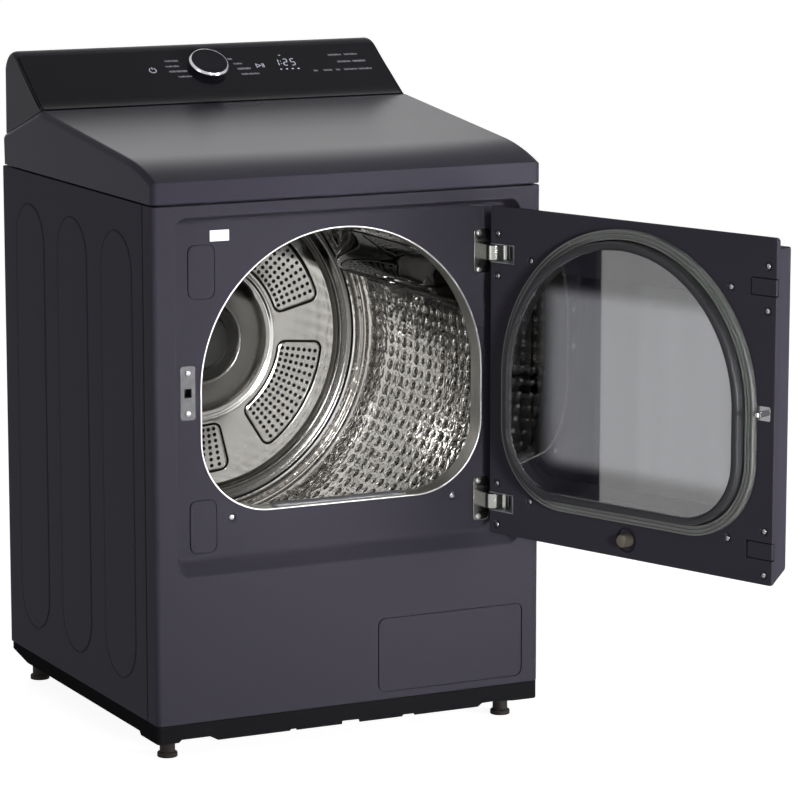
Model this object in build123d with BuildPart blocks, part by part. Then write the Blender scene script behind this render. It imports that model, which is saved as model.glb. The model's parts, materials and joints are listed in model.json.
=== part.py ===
from build123d import *
import math
import os

os.makedirs("parts", exist_ok=True)

# Overall sizes in mm. The origin is on the floor in the middle of the four feet, +Y is the back.
CAB_W = 686.0
CAB_D = 654.0
PANEL_Z = 65.0
PANEL_H = 832.0
SHEET = 1.2

# Feet
FEET_INSET_X = 40.5
FEET_SETBACK = 58.0
FEET_BACKSET = 30.0
FOOT_PAD_R = 16.5
FOOT_PAD_H = 8.0
FOOT_NECK_R = 12.5
STUD_R = 5.0
STUD_FIT = 0.06

# Planes that most pieces hang on
HALF_W = CAB_W / 2
FEET_X = CAB_W - 2 * FEET_INSET_X
FEET_Y = CAB_D - FEET_SETBACK - FEET_BACKSET
FRONT = -(FEET_Y / 2 + FEET_SETBACK)
BACK = FRONT + CAB_D
SEAM_Z = PANEL_Z + PANEL_H
SEAM_GAP = 3.0
PANEL_TOP = SEAM_Z - SEAM_GAP / 2
LID_Z = SEAM_Z + SEAM_GAP / 2

# Front panel and its recess
FRONT_WRAP = 39.5
CORNER_R = 9.0
SIDE_GAP = 0.9
FLANGE = 22.0
RAIL_W = 14.0
RAIL_H = 10.0
RECESS_D = 30.0
RECESS_MARGIN = 38.0
RECESS_TOP = SEAM_Z - 21.0
RECESS_BOTTOM = RECESS_TOP - 573.0
RECESS_SLOPE = 8.0
RECESS_SILL = 21.0
RECESS_W = CAB_W - 2 * RECESS_MARGIN
FLOOR_Y = FRONT + RECESS_D

# Loading opening: a semicircle over a rounded trough, smaller than the drum
DRUM_R = 312.0
OPEN_R = DRUM_R - 62.0
OPEN_TOP = RECESS_TOP - 33.0
OPEN_ARC_Z = OPEN_TOP - OPEN_R
OPEN_BOTTOM = OPEN_ARC_Z - 0.796 * OPEN_R
OPEN_CORNER = 0.48 * OPEN_R
TRIM_T = 1.5
TRIM_BEAD = 4.0
TRIM_PROUD = 1.4
FIT = 0.3

# Bulkheads and drum
BULKHEAD_Y = FRONT + 62.0
REAR_PLATE_Y = BACK - 36.0
REAR_WALL_Y = REAR_PLATE_Y - 6.0
DRUM_Z = OPEN_ARC_Z - 18.0
DRUM_FRONT = BULKHEAD_Y + 10.0
DRUM_BACK = REAR_PLATE_Y - 18.0
DRUM_LIP_R = DRUM_R - 20.0
DISC_R = DRUM_R - 50.0
DRUM_T = 1.0
DRUM_OUT_R = DRUM_R + DRUM_T
COLLAR_R = DRUM_R - 12.0
COLLAR_T = 2.0
LIFTER_H = 48.0
LIFTER_HALF = 56.0
LIFTER_T = 1.2
LIFTER_FIRST = 28.0
PAD_FIRST = 41.0
PAD_SPAN = 53.0
PAD_IN_R = DISC_R - 110.0
PAD_OUT_R = DISC_R - 26.0
DOME_R = PAD_IN_R - 21.0
RING_R = 0.56 * DOME_R
HUB_R = 0.36 * DOME_R
PAD_D = 1.4
DRUM_AXIS = Axis((0, 0, DRUM_Z), (0, 1, 0))

# Rollers under the drum
ROLLER_R = 35.0
ROLLER_T = 22.0
ROLLER_ANGLE = 32.0
ROLLER_SHAFT_R = 6.0
RUN_FIT = 0.06
ROLLER_REACH = DRUM_OUT_R + FIT + ROLLER_R
ROLLER_X = ROLLER_REACH * math.sin(math.radians(ROLLER_ANGLE))
ROLLER_Z = DRUM_Z - ROLLER_REACH * math.cos(math.radians(ROLLER_ANGLE))
ROLLER_FRONT_Y = BULKHEAD_Y + 22.0
ROLLER_REAR_Y = REAR_PLATE_Y - 30.0 - ROLLER_T

# Base pan
BASE_INSET = 2.0
BASE_WALL = 3.0
BASE_BOTTOM = PANEL_Z - 24.0
BASE_CORNER_Z = PANEL_Z - 30.0
BASE_FLOOR_Z = PANEL_Z - 13.0
BASE_CORNER = 64.0
BASE_LIP = 9.0
BASE_LIP_ENDS = (-237.0, 232.0)
BASE_NOTCHES = ((-105.0, 12.0, 2.5), (-2.0, 32.0, 5.5), (103.0, 22.0, 3.0))
BOSS_R = 17.0
BOSS_TOP = BASE_FLOOR_Z + 8.0
NECK_BORE_R = FOOT_NECK_R + 1.5
NECK_BORE_TOP = BASE_CORNER_Z + 12.0

# Motor, blower and belt
MOTOR_X = 150.0
MOTOR_Z = BASE_FLOOR_Z + 103.0
MOTOR_R = 62.0
MOTOR_Y = BULKHEAD_Y + 78.0
MOTOR_L = 130.0
SHAFT_R = 8.0
PULLEY_R = 12.0
BELT_Y = MOTOR_Y + MOTOR_L + 20.0
BELT_W = 10.0
BELT_T = 2.5
BLOWER_R = 74.0
BLOWER_L = 50.0
BLOWER_Y = BULKHEAD_Y + 9.0
HOUSING_R = 86.0
HOUSING_L = 66.0
EXHAUST_Z = BASE_FLOOR_Z + 73.0
EXHAUST_R = 51.0
EXHAUST_PAST = 42.0
IDLER_R = 20.0
IDLER_PIN_R = 5.0

# Heater
HEATER_X = 165.0
HEATER_W = 110.0
HEATER_H = 138.0
HEATER_Y = REAR_PLATE_Y - 198.0

# Lint filter
FILTER_W = 2 * (OPEN_R - OPEN_CORNER) - 42.0
FILTER_T = 14.0
FILTER_H = 166.0
FILTER_Y = FLOOR_Y + 12.0
DUCT_Y = FLOOR_Y + SHEET + 1.5
DUCT_BOTTOM = BASE_FLOOR_Z + 46.0
DUCT_LEFT = -(FILTER_W / 2 + 11.0)
DUCT_RIGHT = 220.0

# Door, drawn closed and placed by planes that are turned open about the hinge
DOOR_OPEN = 110.0
DOOR_W = RECESS_W - 24.0
DOOR_H = 541.0
DOOR_TOP = RECESS_TOP - 10.0
DOOR_BOTTOM = DOOR_TOP - DOOR_H
DOOR_IN = FRONT + 16.0
DOOR_T = 38.0
DOOR_TRAY = 8.0
DOOR_SKIN = 2.0
DOOR_OUT = DOOR_IN - DOOR_T
DOOR_TOP_INSET = 16.0
DOOR_BEVEL = 21.0
DOOR_SIDE_INSET = 0.8
PIVOT_X = DOOR_W / 2 - 16.0
PIVOT_Y = FRONT - 4.0
PIN_R = 3.0
PIN_FIT = 0.05
KNUCKLE_R = 6.5
ARM_H = 24.0
ARM_T = 4.0
ARM_X = PIVOT_X - 28.0
POCKET_W = 50.0
POCKET_H = 28.0
POCKET_D = 28.5
HINGE_Z = (RECESS_TOP - 87.0, RECESS_TOP - 498.0)
LEAF_W = 28.0
LEAF_H = 72.0
LEAF_T = 2.5
LEAF_SCREW = 30.0
FRAME_OUT = -8.0
FRAME_RIM = 13.0
FRAME_WALL = 2.5
FRAME_PROUD = 27.0
GLASS_T = 4.0
PANE_SET = 4.0
WINDOW_W = DOOR_W - 148.0
WINDOW_H = 310.0
WINDOW_TOP = RECESS_TOP - 126.0
WINDOW_R = 42.0
WINDOW_LAP = 12.0
GASKET_OUT = 10.0
GASKET_W = 16.5
GASKET_H = 11.0

# Latch
LATCH_X = -(DOOR_W / 2 - 20.0)
LATCH_Z = RECESS_TOP - 282.5
LATCH_W = 26.0
LATCH_H = 87.0
LATCH_HOLE_W = 12.0
LATCH_HOLE_H = 14.0
LATCH_SCREW = 32.4
CATCH_H = 54.0
CATCH_D = 24.0

# Screws
SCREW_HEAD_R = 4.6
SCREW_HEAD_H = 2.4
SCREW_R = 2.0
SCREW_HOLE_R = 2.3
SCREW_L = 7.0

# Lid and console, heights counted from the seam
LID_CREASE = 36.0
LID_CURVE = 115.0
LID_CURVE_H = 65.5
LID_PEAK_BACK = 174.0
LID_PEAK_H = 106.0
LID_REAR_BACK = 2.0
LID_REAR_H = 52.0
LID_EDGE_R = 6.0
CONSOLE_W = CAB_W - 14.0
FASCIA_ANGLE = 35.0
FASCIA_T = 3.0
FASCIA_W = CONSOLE_W - 18.0
FOOT_BACK = 168.0
FOOT_H = 108.0
FLARE_BACK = 148.0
FLARE_H = 117.8
FASCIA_TOP_BACK = 50.0
CONSOLE_TOP_BACK = 32.0
CONSOLE_REAR_BACK = 1.0
CONSOLE_ROUND = 33.0
CONSOLE_WALL = 3.0
KNOB_R = 35.0
KNOB_BASE_R = 30.0
KNOB_H = 13.5
KNOB_LIFT = 1.0
KNOB_UP = 72.0
ENCODER_R = 3.0
BOARD_DEPTH = 16.0
BOARD_T = 1.6
BOARD_W = 470.0
BOARD_H = 62.0

# Back of the cabinet
REAR_MARGIN = 3.0
TERMINAL_X = -230.0
TERMINAL_Z = PANEL_Z + 165.0
COVER_W = 120.0
COVER_H = 110.0
COVER_D = 26.0
CORD_R = 11.0


def depth_plane(y):
    """Upright plane at depth y; local x is the width and local y the height."""
    return Plane(origin=(0, y, 0), x_dir=(1, 0, 0), z_dir=(0, -1, 0))


def turned(x, y):
    """A point of the closed door after the door has swung open."""
    a = math.radians(DOOR_OPEN)
    dx = x - PIVOT_X
    dy = y - PIVOT_Y
    x_open = PIVOT_X + dx * math.cos(a) - dy * math.sin(a)
    y_open = PIVOT_Y + dx * math.sin(a) + dy * math.cos(a)
    return (x_open, y_open, 0)


def door_plane(y):
    """Plane along the open door at the closed door's depth y; +extrude goes to the outer skin."""
    a = math.radians(DOOR_OPEN)
    along = (math.cos(a), math.sin(a), 0)
    return Plane(origin=turned(0, y), x_dir=along, z_dir=(math.sin(a), -math.cos(a), 0))


def door_section(x):
    """Plane across the open door at the closed door's width x; local x is depth, local y is height."""
    a = math.radians(DOOR_OPEN)
    along = (math.cos(a), math.sin(a), 0)
    return Plane(origin=turned(x, 0), x_dir=(-math.sin(a), math.cos(a), 0), z_dir=along)


def opening_outline(grow):
    """Outline of the loading opening, grown outwards."""
    r = OPEN_R + grow
    low = OPEN_BOTTOM - grow
    c = OPEN_CORNER + grow
    with BuildSketch() as outline:
        with BuildLine():
            CenterArc((0, OPEN_ARC_Z), r, 0, 180)
            Line((-r, OPEN_ARC_Z), (-r, low + c))
            CenterArc((-r + c, low + c), c, 180, 90)
            Line((-r + c, low), (r - c, low))
            CenterArc((r - c, low + c), c, 270, 90)
            Line((r, low + c), (r, OPEN_ARC_Z))
        make_face()
    return outline.sketch


def opening_ring(outer, inner):
    """Band between two growths of the opening's outline."""
    with BuildSketch() as ring:
        add(opening_outline(outer))
        add(opening_outline(inner), mode=Mode.SUBTRACT)
    return ring.sketch


def annulus(outer, inner, x, z):
    """Flat ring about the point (x, z)."""
    with BuildSketch() as ring:
        with Locations((x, z)):
            Circle(outer)
            Circle(inner, mode=Mode.SUBTRACT)
    return ring.sketch


def pad_outline(angle):
    """Sector with rounded corners for one vent pad of the drum's rear wall."""
    a0 = angle - PAD_SPAN / 2
    p0 = math.radians(a0)
    p1 = math.radians(a0 + PAD_SPAN)
    with BuildSketch() as pad:
        with BuildLine():
            CenterArc((0, 0), PAD_OUT_R, a0, PAD_SPAN)
            CenterArc((0, 0), PAD_IN_R, a0, PAD_SPAN)
            Line((PAD_IN_R * math.cos(p0), PAD_IN_R * math.sin(p0)),
                 (PAD_OUT_R * math.cos(p0), PAD_OUT_R * math.sin(p0)))
            Line((PAD_IN_R * math.cos(p1), PAD_IN_R * math.sin(p1)),
                 (PAD_OUT_R * math.cos(p1), PAD_OUT_R * math.sin(p1)))
        make_face()
        fillet(pad.vertices(), 14)
    return pad.sketch


def lid_z(back):
    """Height of the lid's rear slope at a distance in front of the back."""
    slope = (LID_PEAK_H - LID_REAR_H) / (LID_PEAK_BACK - LID_REAR_BACK)
    return SEAM_Z + LID_PEAK_H - slope * (LID_PEAK_BACK - back)


def fascia_point(s, height):
    """A point up the fascia's slope from the flare, at a height over its face, in (y, z)."""
    a = math.radians(FASCIA_ANGLE)
    y = BACK - FLARE_BACK + s * math.cos(a) - height * math.sin(a)
    z = SEAM_Z + FLARE_H + s * math.sin(a) + height * math.cos(a)
    return (y, z)


def fascia_plane(s, height):
    """Plane parallel to the fascia; local x is the width and local y runs up the slope."""
    a = math.radians(FASCIA_ANGLE)
    y, z = fascia_point(s, height)
    return Plane(origin=(0, y, z), x_dir=(1, 0, 0), z_dir=(0, -math.sin(a), math.cos(a)))


FASCIA_L = (FLARE_BACK - FASCIA_TOP_BACK) / math.cos(math.radians(FASCIA_ANGLE))
FASCIA_TOP = fascia_point(FASCIA_L, 0)
HINGE_SCREWS = [(PIVOT_X - 33.0, z + d) for z in HINGE_Z for d in (-LEAF_SCREW, LEAF_SCREW)]
LATCH_SCREWS = [(LATCH_X, LATCH_Z + d) for d in (-LATCH_SCREW, LATCH_SCREW)]
SPARE_SCREWS = [(s * (OPEN_R - 52.0), OPEN_BOTTOM - 7.0) for s in (-1, 1)]
REAR_SCREW_Z = [PANEL_Z + PANEL_H * f for f in (0.06, 0.33, 0.63, 0.93)]
REAR_SCREWS = [(s * (HALF_W - 12.0), z) for s in (-1, 1) for z in REAR_SCREW_Z]
DOOR_SCREWS = [(s * (DOOR_W / 2 - e), z) for s in (-1, 1) for e, z in (
    (16.0, DOOR_TOP - 44.5), (16.0, DOOR_TOP - 113.5), (88.0, DOOR_TOP - 83.0),
    (16.0, DOOR_BOTTOM + 84.5), (16.0, DOOR_BOTTOM + 15.5), (88.0, DOOR_BOTTOM + 63.5))]

# Left side sheet: a folded tray with a top rail for the lid and three shallow raised embosses
SIDE_FRONT = FRONT + FRONT_WRAP + SIDE_GAP
SIDE_L = BACK - SIDE_FRONT
EMBOSS_W = 128.0
EMBOSS_D = 0.8
EMBOSS_H = 728.0
EMBOSS_PITCH = 190.0
EMBOSS_Z = PANEL_Z + 50.0 + EMBOSS_H / 2
with BuildPart() as left_side_panel:
    with BuildSketch(Plane.XY.offset(PANEL_Z)):
        with Locations((-HALF_W + FLANGE / 2, SIDE_FRONT + SIDE_L / 2)):
            Rectangle(FLANGE, SIDE_L)
    extrude(amount=PANEL_TOP - PANEL_Z)
    with BuildSketch(Plane.XY.offset(PANEL_Z + SHEET)):
        with Locations((-HALF_W + SHEET + FLANGE / 2, SIDE_FRONT + SIDE_L / 2)):
            Rectangle(FLANGE, SIDE_L - 2 * SHEET)
    extrude(amount=PANEL_TOP - PANEL_Z, mode=Mode.SUBTRACT)
    with BuildSketch(Plane.XY.offset(PANEL_TOP - RAIL_H)):
        with Locations((-HALF_W + SHEET + RAIL_W / 2, SIDE_FRONT + SIDE_L / 2)):
            Rectangle(RAIL_W, SIDE_L)
    extrude(amount=RAIL_H + SEAM_GAP)
    with BuildSketch(Plane.YZ.offset(-HALF_W)):
        with Locations(*[(BACK - 124.0 - EMBOSS_PITCH * n, EMBOSS_Z) for n in range(3)]):
            SlotOverall(EMBOSS_H, EMBOSS_W, rotation=90)
    extrude(amount=-EMBOSS_D)
    with BuildSketch(Plane.YZ.offset(-HALF_W + SHEET)):
        with Locations(*[(BACK - 124.0 - EMBOSS_PITCH * n, EMBOSS_Z) for n in range(3)]):
            SlotOverall(EMBOSS_H - 2, EMBOSS_W - 2, rotation=90)
    extrude(amount=-EMBOSS_D, mode=Mode.SUBTRACT)
    with BuildSketch(depth_plane(BACK)):
        with Locations(*REAR_SCREWS[:4]):
            Circle(SCREW_HOLE_R)
    extrude(amount=SHEET, mode=Mode.SUBTRACT)
left_side_panel.part.label = "left_side_panel"
export_step(left_side_panel.part, "parts/left_side_panel.step")

# Right side sheet, the mirror image
with BuildPart() as right_side_panel:
    mirror(left_side_panel.part, about=Plane.YZ)
right_side_panel.part.label = "right_side_panel"
export_step(right_side_panel.part, "parts/right_side_panel.step")

# Front panel with its door recess, loading opening and access opening
ACCESS_W = 262.4
ACCESS_H = 121.0
ACCESS_X = HALF_W - 163.5
ACCESS_Z = PANEL_Z + 74.5
RECESS_Z = (RECESS_TOP + RECESS_BOTTOM) / 2
RECESS_FLOOR_Z = (RECESS_TOP - RECESS_SLOPE + RECESS_BOTTOM + RECESS_SILL) / 2
RECESS_FLOOR_H = RECESS_TOP - RECESS_SLOPE - RECESS_BOTTOM - RECESS_SILL
with BuildPart() as front_panel:
    with BuildSketch(Plane.XY.offset(PANEL_Z)) as front_outer:
        with Locations((0, FRONT + FRONT_WRAP / 2)):
            Rectangle(CAB_W, FRONT_WRAP)
        fillet(front_outer.vertices().group_by(Axis.Y)[0], CORNER_R)
    extrude(amount=PANEL_TOP - PANEL_Z)
    with BuildSketch(Plane.XY.offset(PANEL_Z + SHEET)) as front_inner:
        with Locations((0, FRONT + SHEET + FRONT_WRAP / 2)):
            Rectangle(CAB_W - 2 * SHEET, FRONT_WRAP)
        fillet(front_inner.vertices().group_by(Axis.Y)[0], CORNER_R - SHEET)
    extrude(amount=PANEL_TOP - PANEL_Z - 2 * SHEET, mode=Mode.SUBTRACT)
    with BuildSketch(depth_plane(FRONT)):
        with Locations((0, RECESS_Z)):
            RectangleRounded(RECESS_W + 2 * SHEET, RECESS_TOP - RECESS_BOTTOM + 2 * SHEET, 21.5)
    with BuildSketch(depth_plane(FLOOR_Y + SHEET)):
        with Locations((0, RECESS_FLOOR_Z)):
            RectangleRounded(RECESS_W - 2 * RECESS_SLOPE + 2 * SHEET, RECESS_FLOOR_H + 2 * SHEET, 15.5)
    loft()
    with BuildSketch(depth_plane(FRONT)):
        with Locations((0, RECESS_Z)):
            RectangleRounded(RECESS_W, RECESS_TOP - RECESS_BOTTOM, 20)
    with BuildSketch(depth_plane(FLOOR_Y)):
        with Locations((0, RECESS_FLOOR_Z)):
            RectangleRounded(RECESS_W - 2 * RECESS_SLOPE, RECESS_FLOOR_H, 14)
    loft(mode=Mode.SUBTRACT)
    with BuildSketch(depth_plane(FLOOR_Y)):
        add(opening_outline(FIT))
        with Locations(*HINGE_SCREWS, *LATCH_SCREWS, *SPARE_SCREWS):
            Circle(SCREW_HOLE_R)
        with Locations((LATCH_X, LATCH_Z)):
            Rectangle(LATCH_HOLE_W, LATCH_HOLE_H)
    extrude(amount=-2 * SHEET, mode=Mode.SUBTRACT)
    with BuildSketch(depth_plane(FRONT)):
        with Locations((ACCESS_X, ACCESS_Z)):
            RectangleRounded(ACCESS_W + 1.6, ACCESS_H + 1.6, 12.8)
    extrude(amount=-SHEET, mode=Mode.SUBTRACT)
front_panel.part.label = "front_panel"
export_step(front_panel.part, "parts/front_panel.step")

# Access cover, flush in the front panel with a lip behind it
with BuildPart() as access_cover:
    with BuildSketch(depth_plane(FRONT)):
        with Locations((ACCESS_X, ACCESS_Z)):
            RectangleRounded(ACCESS_W, ACCESS_H, 12)
    extrude(amount=-SHEET)
    with BuildSketch(depth_plane(FRONT + SHEET)):
        with Locations((ACCESS_X, ACCESS_Z)):
            RectangleRounded(ACCESS_W + 14, ACCESS_H + 14, 16)
    extrude(amount=-SHEET)
access_cover.part.label = "access_cover"
export_step(access_cover.part, "parts/access_cover.step")

# Lid: waterfall front, long rise to the peak, slope down to the back
LID_SLOPE = (LID_PEAK_H - LID_CURVE_H) / (CAB_D - LID_PEAK_BACK - LID_CURVE)
with BuildPart() as top_panel:
    with BuildSketch(Plane.YZ.offset(-HALF_W)):
        with BuildLine():
            Line((FRONT, LID_Z), (FRONT, SEAM_Z + LID_CREASE))
            TangentArc((FRONT + LID_CURVE, SEAM_Z + LID_CURVE_H), (FRONT, SEAM_Z + LID_CREASE),
                       tangent=(-1, -LID_SLOPE))
            Polyline((FRONT + LID_CURVE, SEAM_Z + LID_CURVE_H), (BACK - LID_PEAK_BACK, SEAM_Z + LID_PEAK_H),
                     (BACK - LID_REAR_BACK, SEAM_Z + LID_REAR_H), (BACK - LID_REAR_BACK, LID_Z),
                     (FRONT, LID_Z))
        make_face()
    extrude(amount=CAB_W)
    lid_ends = top_panel.faces().group_by(Axis.X)
    lid_rims = lid_ends[0].edges() + lid_ends[-1].edges()
    fillet(lid_rims.filter_by(lambda e: e.center().Z > LID_Z + 1 and e.center().Y < BACK - 5), LID_EDGE_R)
    for inset, drop in ((LID_EDGE_R, 1.8), (SHEET + 0.3, LID_EDGE_R + 0.6)):
        with BuildSketch(Plane.YZ.offset(-HALF_W + inset)):
            with BuildLine():
                Line((FRONT + 2, LID_Z + SHEET), (FRONT + 2, SEAM_Z + LID_CREASE - drop))
                TangentArc((FRONT + LID_CURVE, SEAM_Z + LID_CURVE_H - drop),
                           (FRONT + 2, SEAM_Z + LID_CREASE - drop), tangent=(-1, -LID_SLOPE))
                Polyline((FRONT + LID_CURVE, SEAM_Z + LID_CURVE_H - drop),
                         (BACK - LID_PEAK_BACK, SEAM_Z + LID_PEAK_H - drop),
                         (BACK - LID_REAR_BACK - 2, SEAM_Z + LID_REAR_H - drop),
                         (BACK - LID_REAR_BACK - 2, LID_Z + SHEET), (FRONT + 2, LID_Z + SHEET))
            make_face()
        extrude(amount=CAB_W - 2 * inset, mode=Mode.SUBTRACT)
    with BuildSketch(Plane.XY.offset(LID_Z)):
        with Locations((0, (FRONT + BACK) / 2)):
            Rectangle(CAB_W - 2 * FLANGE, CAB_D - 2 * FLANGE)
    extrude(amount=SHEET, mode=Mode.SUBTRACT)
top_panel.part.label = "top_panel"
export_step(top_panel.part, "parts/top_panel.step")

# Rear panel with louvre slots, an exhaust hole and a wire hole
with BuildPart() as rear_panel:
    with BuildSketch(depth_plane(BACK)):
        with Locations((0, (PANEL_Z + PANEL_TOP) / 2)):
            Rectangle(CAB_W - 2 * REAR_MARGIN, PANEL_TOP - PANEL_Z)
        with Locations((0, EXHAUST_Z)):
            Circle(EXHAUST_R + 2, mode=Mode.SUBTRACT)
        with Locations((TERMINAL_X, TERMINAL_Z + 34.0)):
            Circle(12, mode=Mode.SUBTRACT)
        with Locations(*REAR_SCREWS):
            Circle(SCREW_HOLE_R, mode=Mode.SUBTRACT)
        with Locations((-170, SEAM_Z - 160.0), (170, SEAM_Z - 160.0)):
            with GridLocations(10, 14, 1, 7):
                SlotOverall(90, 6, mode=Mode.SUBTRACT)
    extrude(amount=-SHEET)
rear_panel.part.label = "rear_panel"
export_step(rear_panel.part, "parts/rear_panel.step")

# Base pan with a skirt, deeper corners and a bored boss over each foot
BASE_W = CAB_W - 2 * BASE_INSET
BASE_D = CAB_D - 2 * BASE_INSET
BASE_MID = (FRONT + BACK) / 2
FEET = [(sx * FEET_X / 2, sy * FEET_Y / 2) for sy in (-1, 1) for sx in (-1, 1)]
with BuildPart() as base_pan:
    with BuildSketch(Plane.XY.offset(BASE_BOTTOM)):
        with Locations((0, BASE_MID)):
            RectangleRounded(BASE_W, BASE_D, 8)
    extrude(amount=PANEL_Z - BASE_BOTTOM)
    with BuildSketch(Plane.XY.offset(BASE_FLOOR_Z)):
        with Locations((0, BASE_MID)):
            RectangleRounded(BASE_W - 2 * BASE_WALL, BASE_D - 2 * BASE_WALL, 5)
    extrude(amount=PANEL_Z - BASE_FLOOR_Z, mode=Mode.SUBTRACT)
    with BuildSketch(Plane.XY.offset(BASE_BOTTOM)):
        with Locations((0, BASE_MID)):
            Rectangle(BASE_W - 2 * BASE_CORNER, BASE_D - 2 * BASE_WALL)
            Rectangle(BASE_W - 2 * BASE_WALL, BASE_D - 2 * BASE_CORNER)
    extrude(amount=BASE_FLOOR_Z - BASE_BOTTOM - 2, mode=Mode.SUBTRACT)
    with BuildSketch(Plane.XY.offset(BASE_CORNER_Z)):
        with Locations((0, BASE_MID)):
            RectangleRounded(BASE_W, BASE_D, 8)
            Rectangle(BASE_W - 2 * BASE_CORNER, BASE_D, mode=Mode.SUBTRACT)
            Rectangle(BASE_W, BASE_D - 2 * BASE_CORNER, mode=Mode.SUBTRACT)
    extrude(amount=BASE_BOTTOM - BASE_CORNER_Z)
    with BuildSketch(depth_plane(FRONT + BASE_INSET)):
        with BuildLine():
            Polyline((BASE_LIP_ENDS[0] - 12, BASE_BOTTOM), (BASE_LIP_ENDS[0], BASE_BOTTOM - BASE_LIP),
                     (BASE_LIP_ENDS[1], BASE_BOTTOM - BASE_LIP), (BASE_LIP_ENDS[1] + 8, BASE_BOTTOM), close=True)
        make_face()
        for notch_x, notch_w, notch_h in BASE_NOTCHES:
            with Locations((notch_x, BASE_BOTTOM - BASE_LIP + notch_h / 2)):
                Rectangle(notch_w, notch_h, mode=Mode.SUBTRACT)
    extrude(amount=-BASE_WALL)
    with BuildSketch(Plane.XY.offset(BASE_FLOOR_Z)):
        with Locations(*FEET):
            Circle(BOSS_R)
    extrude(amount=BOSS_TOP - BASE_FLOOR_Z)
    with BuildSketch(Plane.XY.offset(BASE_CORNER_Z)):
        with Locations(*FEET):
            Circle(NECK_BORE_R)
    extrude(amount=NECK_BORE_TOP - BASE_CORNER_Z, mode=Mode.SUBTRACT)
    with BuildSketch(Plane.XY.offset(NECK_BORE_TOP)):
        with Locations(*FEET):
            Circle(STUD_R + STUD_FIT)
    extrude(amount=BOSS_TOP - NECK_BORE_TOP, mode=Mode.SUBTRACT)
base_pan.part.label = "base_pan"
export_step(base_pan.part, "parts/base_pan.step")

# Levelling feet: rubber pad, waisted neck and threaded stud
NECK_TOP = BASE_CORNER_Z + 1.0
for (foot_x, foot_y), foot_name in zip(FEET, ("front_left", "front_right", "rear_left", "rear_right")):
    with BuildPart() as levelling_foot:
        with BuildSketch(Plane.XY):
            with Locations((foot_x, foot_y)):
                Circle(FOOT_PAD_R)
        extrude(amount=FOOT_PAD_H)
        fillet(levelling_foot.edges().group_by(Axis.Z)[-1], 2.5)
        with BuildSketch(Plane.XY.offset(FOOT_PAD_H)):
            with Locations((foot_x, foot_y)):
                Circle(FOOT_NECK_R)
        extrude(amount=NECK_TOP - FOOT_PAD_H)
        with BuildSketch(Plane.XY.offset(NECK_TOP)):
            with Locations((foot_x, foot_y)):
                Circle(STUD_R)
        extrude(amount=BOSS_TOP - 4.0 - NECK_TOP)
    levelling_foot.part.label = "foot_" + foot_name
    export_step(levelling_foot.part, "parts/foot_" + foot_name + ".step")

# Front bulkhead: plate with the opening, the blower inlet and a collar inside the drum
PLATE_BOTTOM = PANEL_Z + SHEET
PLATE_TOP = PANEL_TOP - RAIL_H - 2.0
PLATE_W = CAB_W - 2 * SHEET
with BuildPart() as front_bulkhead:
    with BuildSketch(depth_plane(BULKHEAD_Y)):
        with Locations((0, (PLATE_BOTTOM + PLATE_TOP) / 2)):
            Rectangle(PLATE_W, PLATE_TOP - PLATE_BOTTOM)
        add(opening_outline(FIT), mode=Mode.SUBTRACT)
        with Locations((MOTOR_X, MOTOR_Z)):
            Circle(60, mode=Mode.SUBTRACT)
    extrude(amount=-SHEET)
    with BuildSketch(depth_plane(BULKHEAD_Y + SHEET)):
        add(annulus(COLLAR_R + COLLAR_T, COLLAR_R, 0, DRUM_Z))
    extrude(amount=-26)
front_bulkhead.part.label = "front_bulkhead"
export_step(front_bulkhead.part, "parts/front_bulkhead.step")

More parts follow.
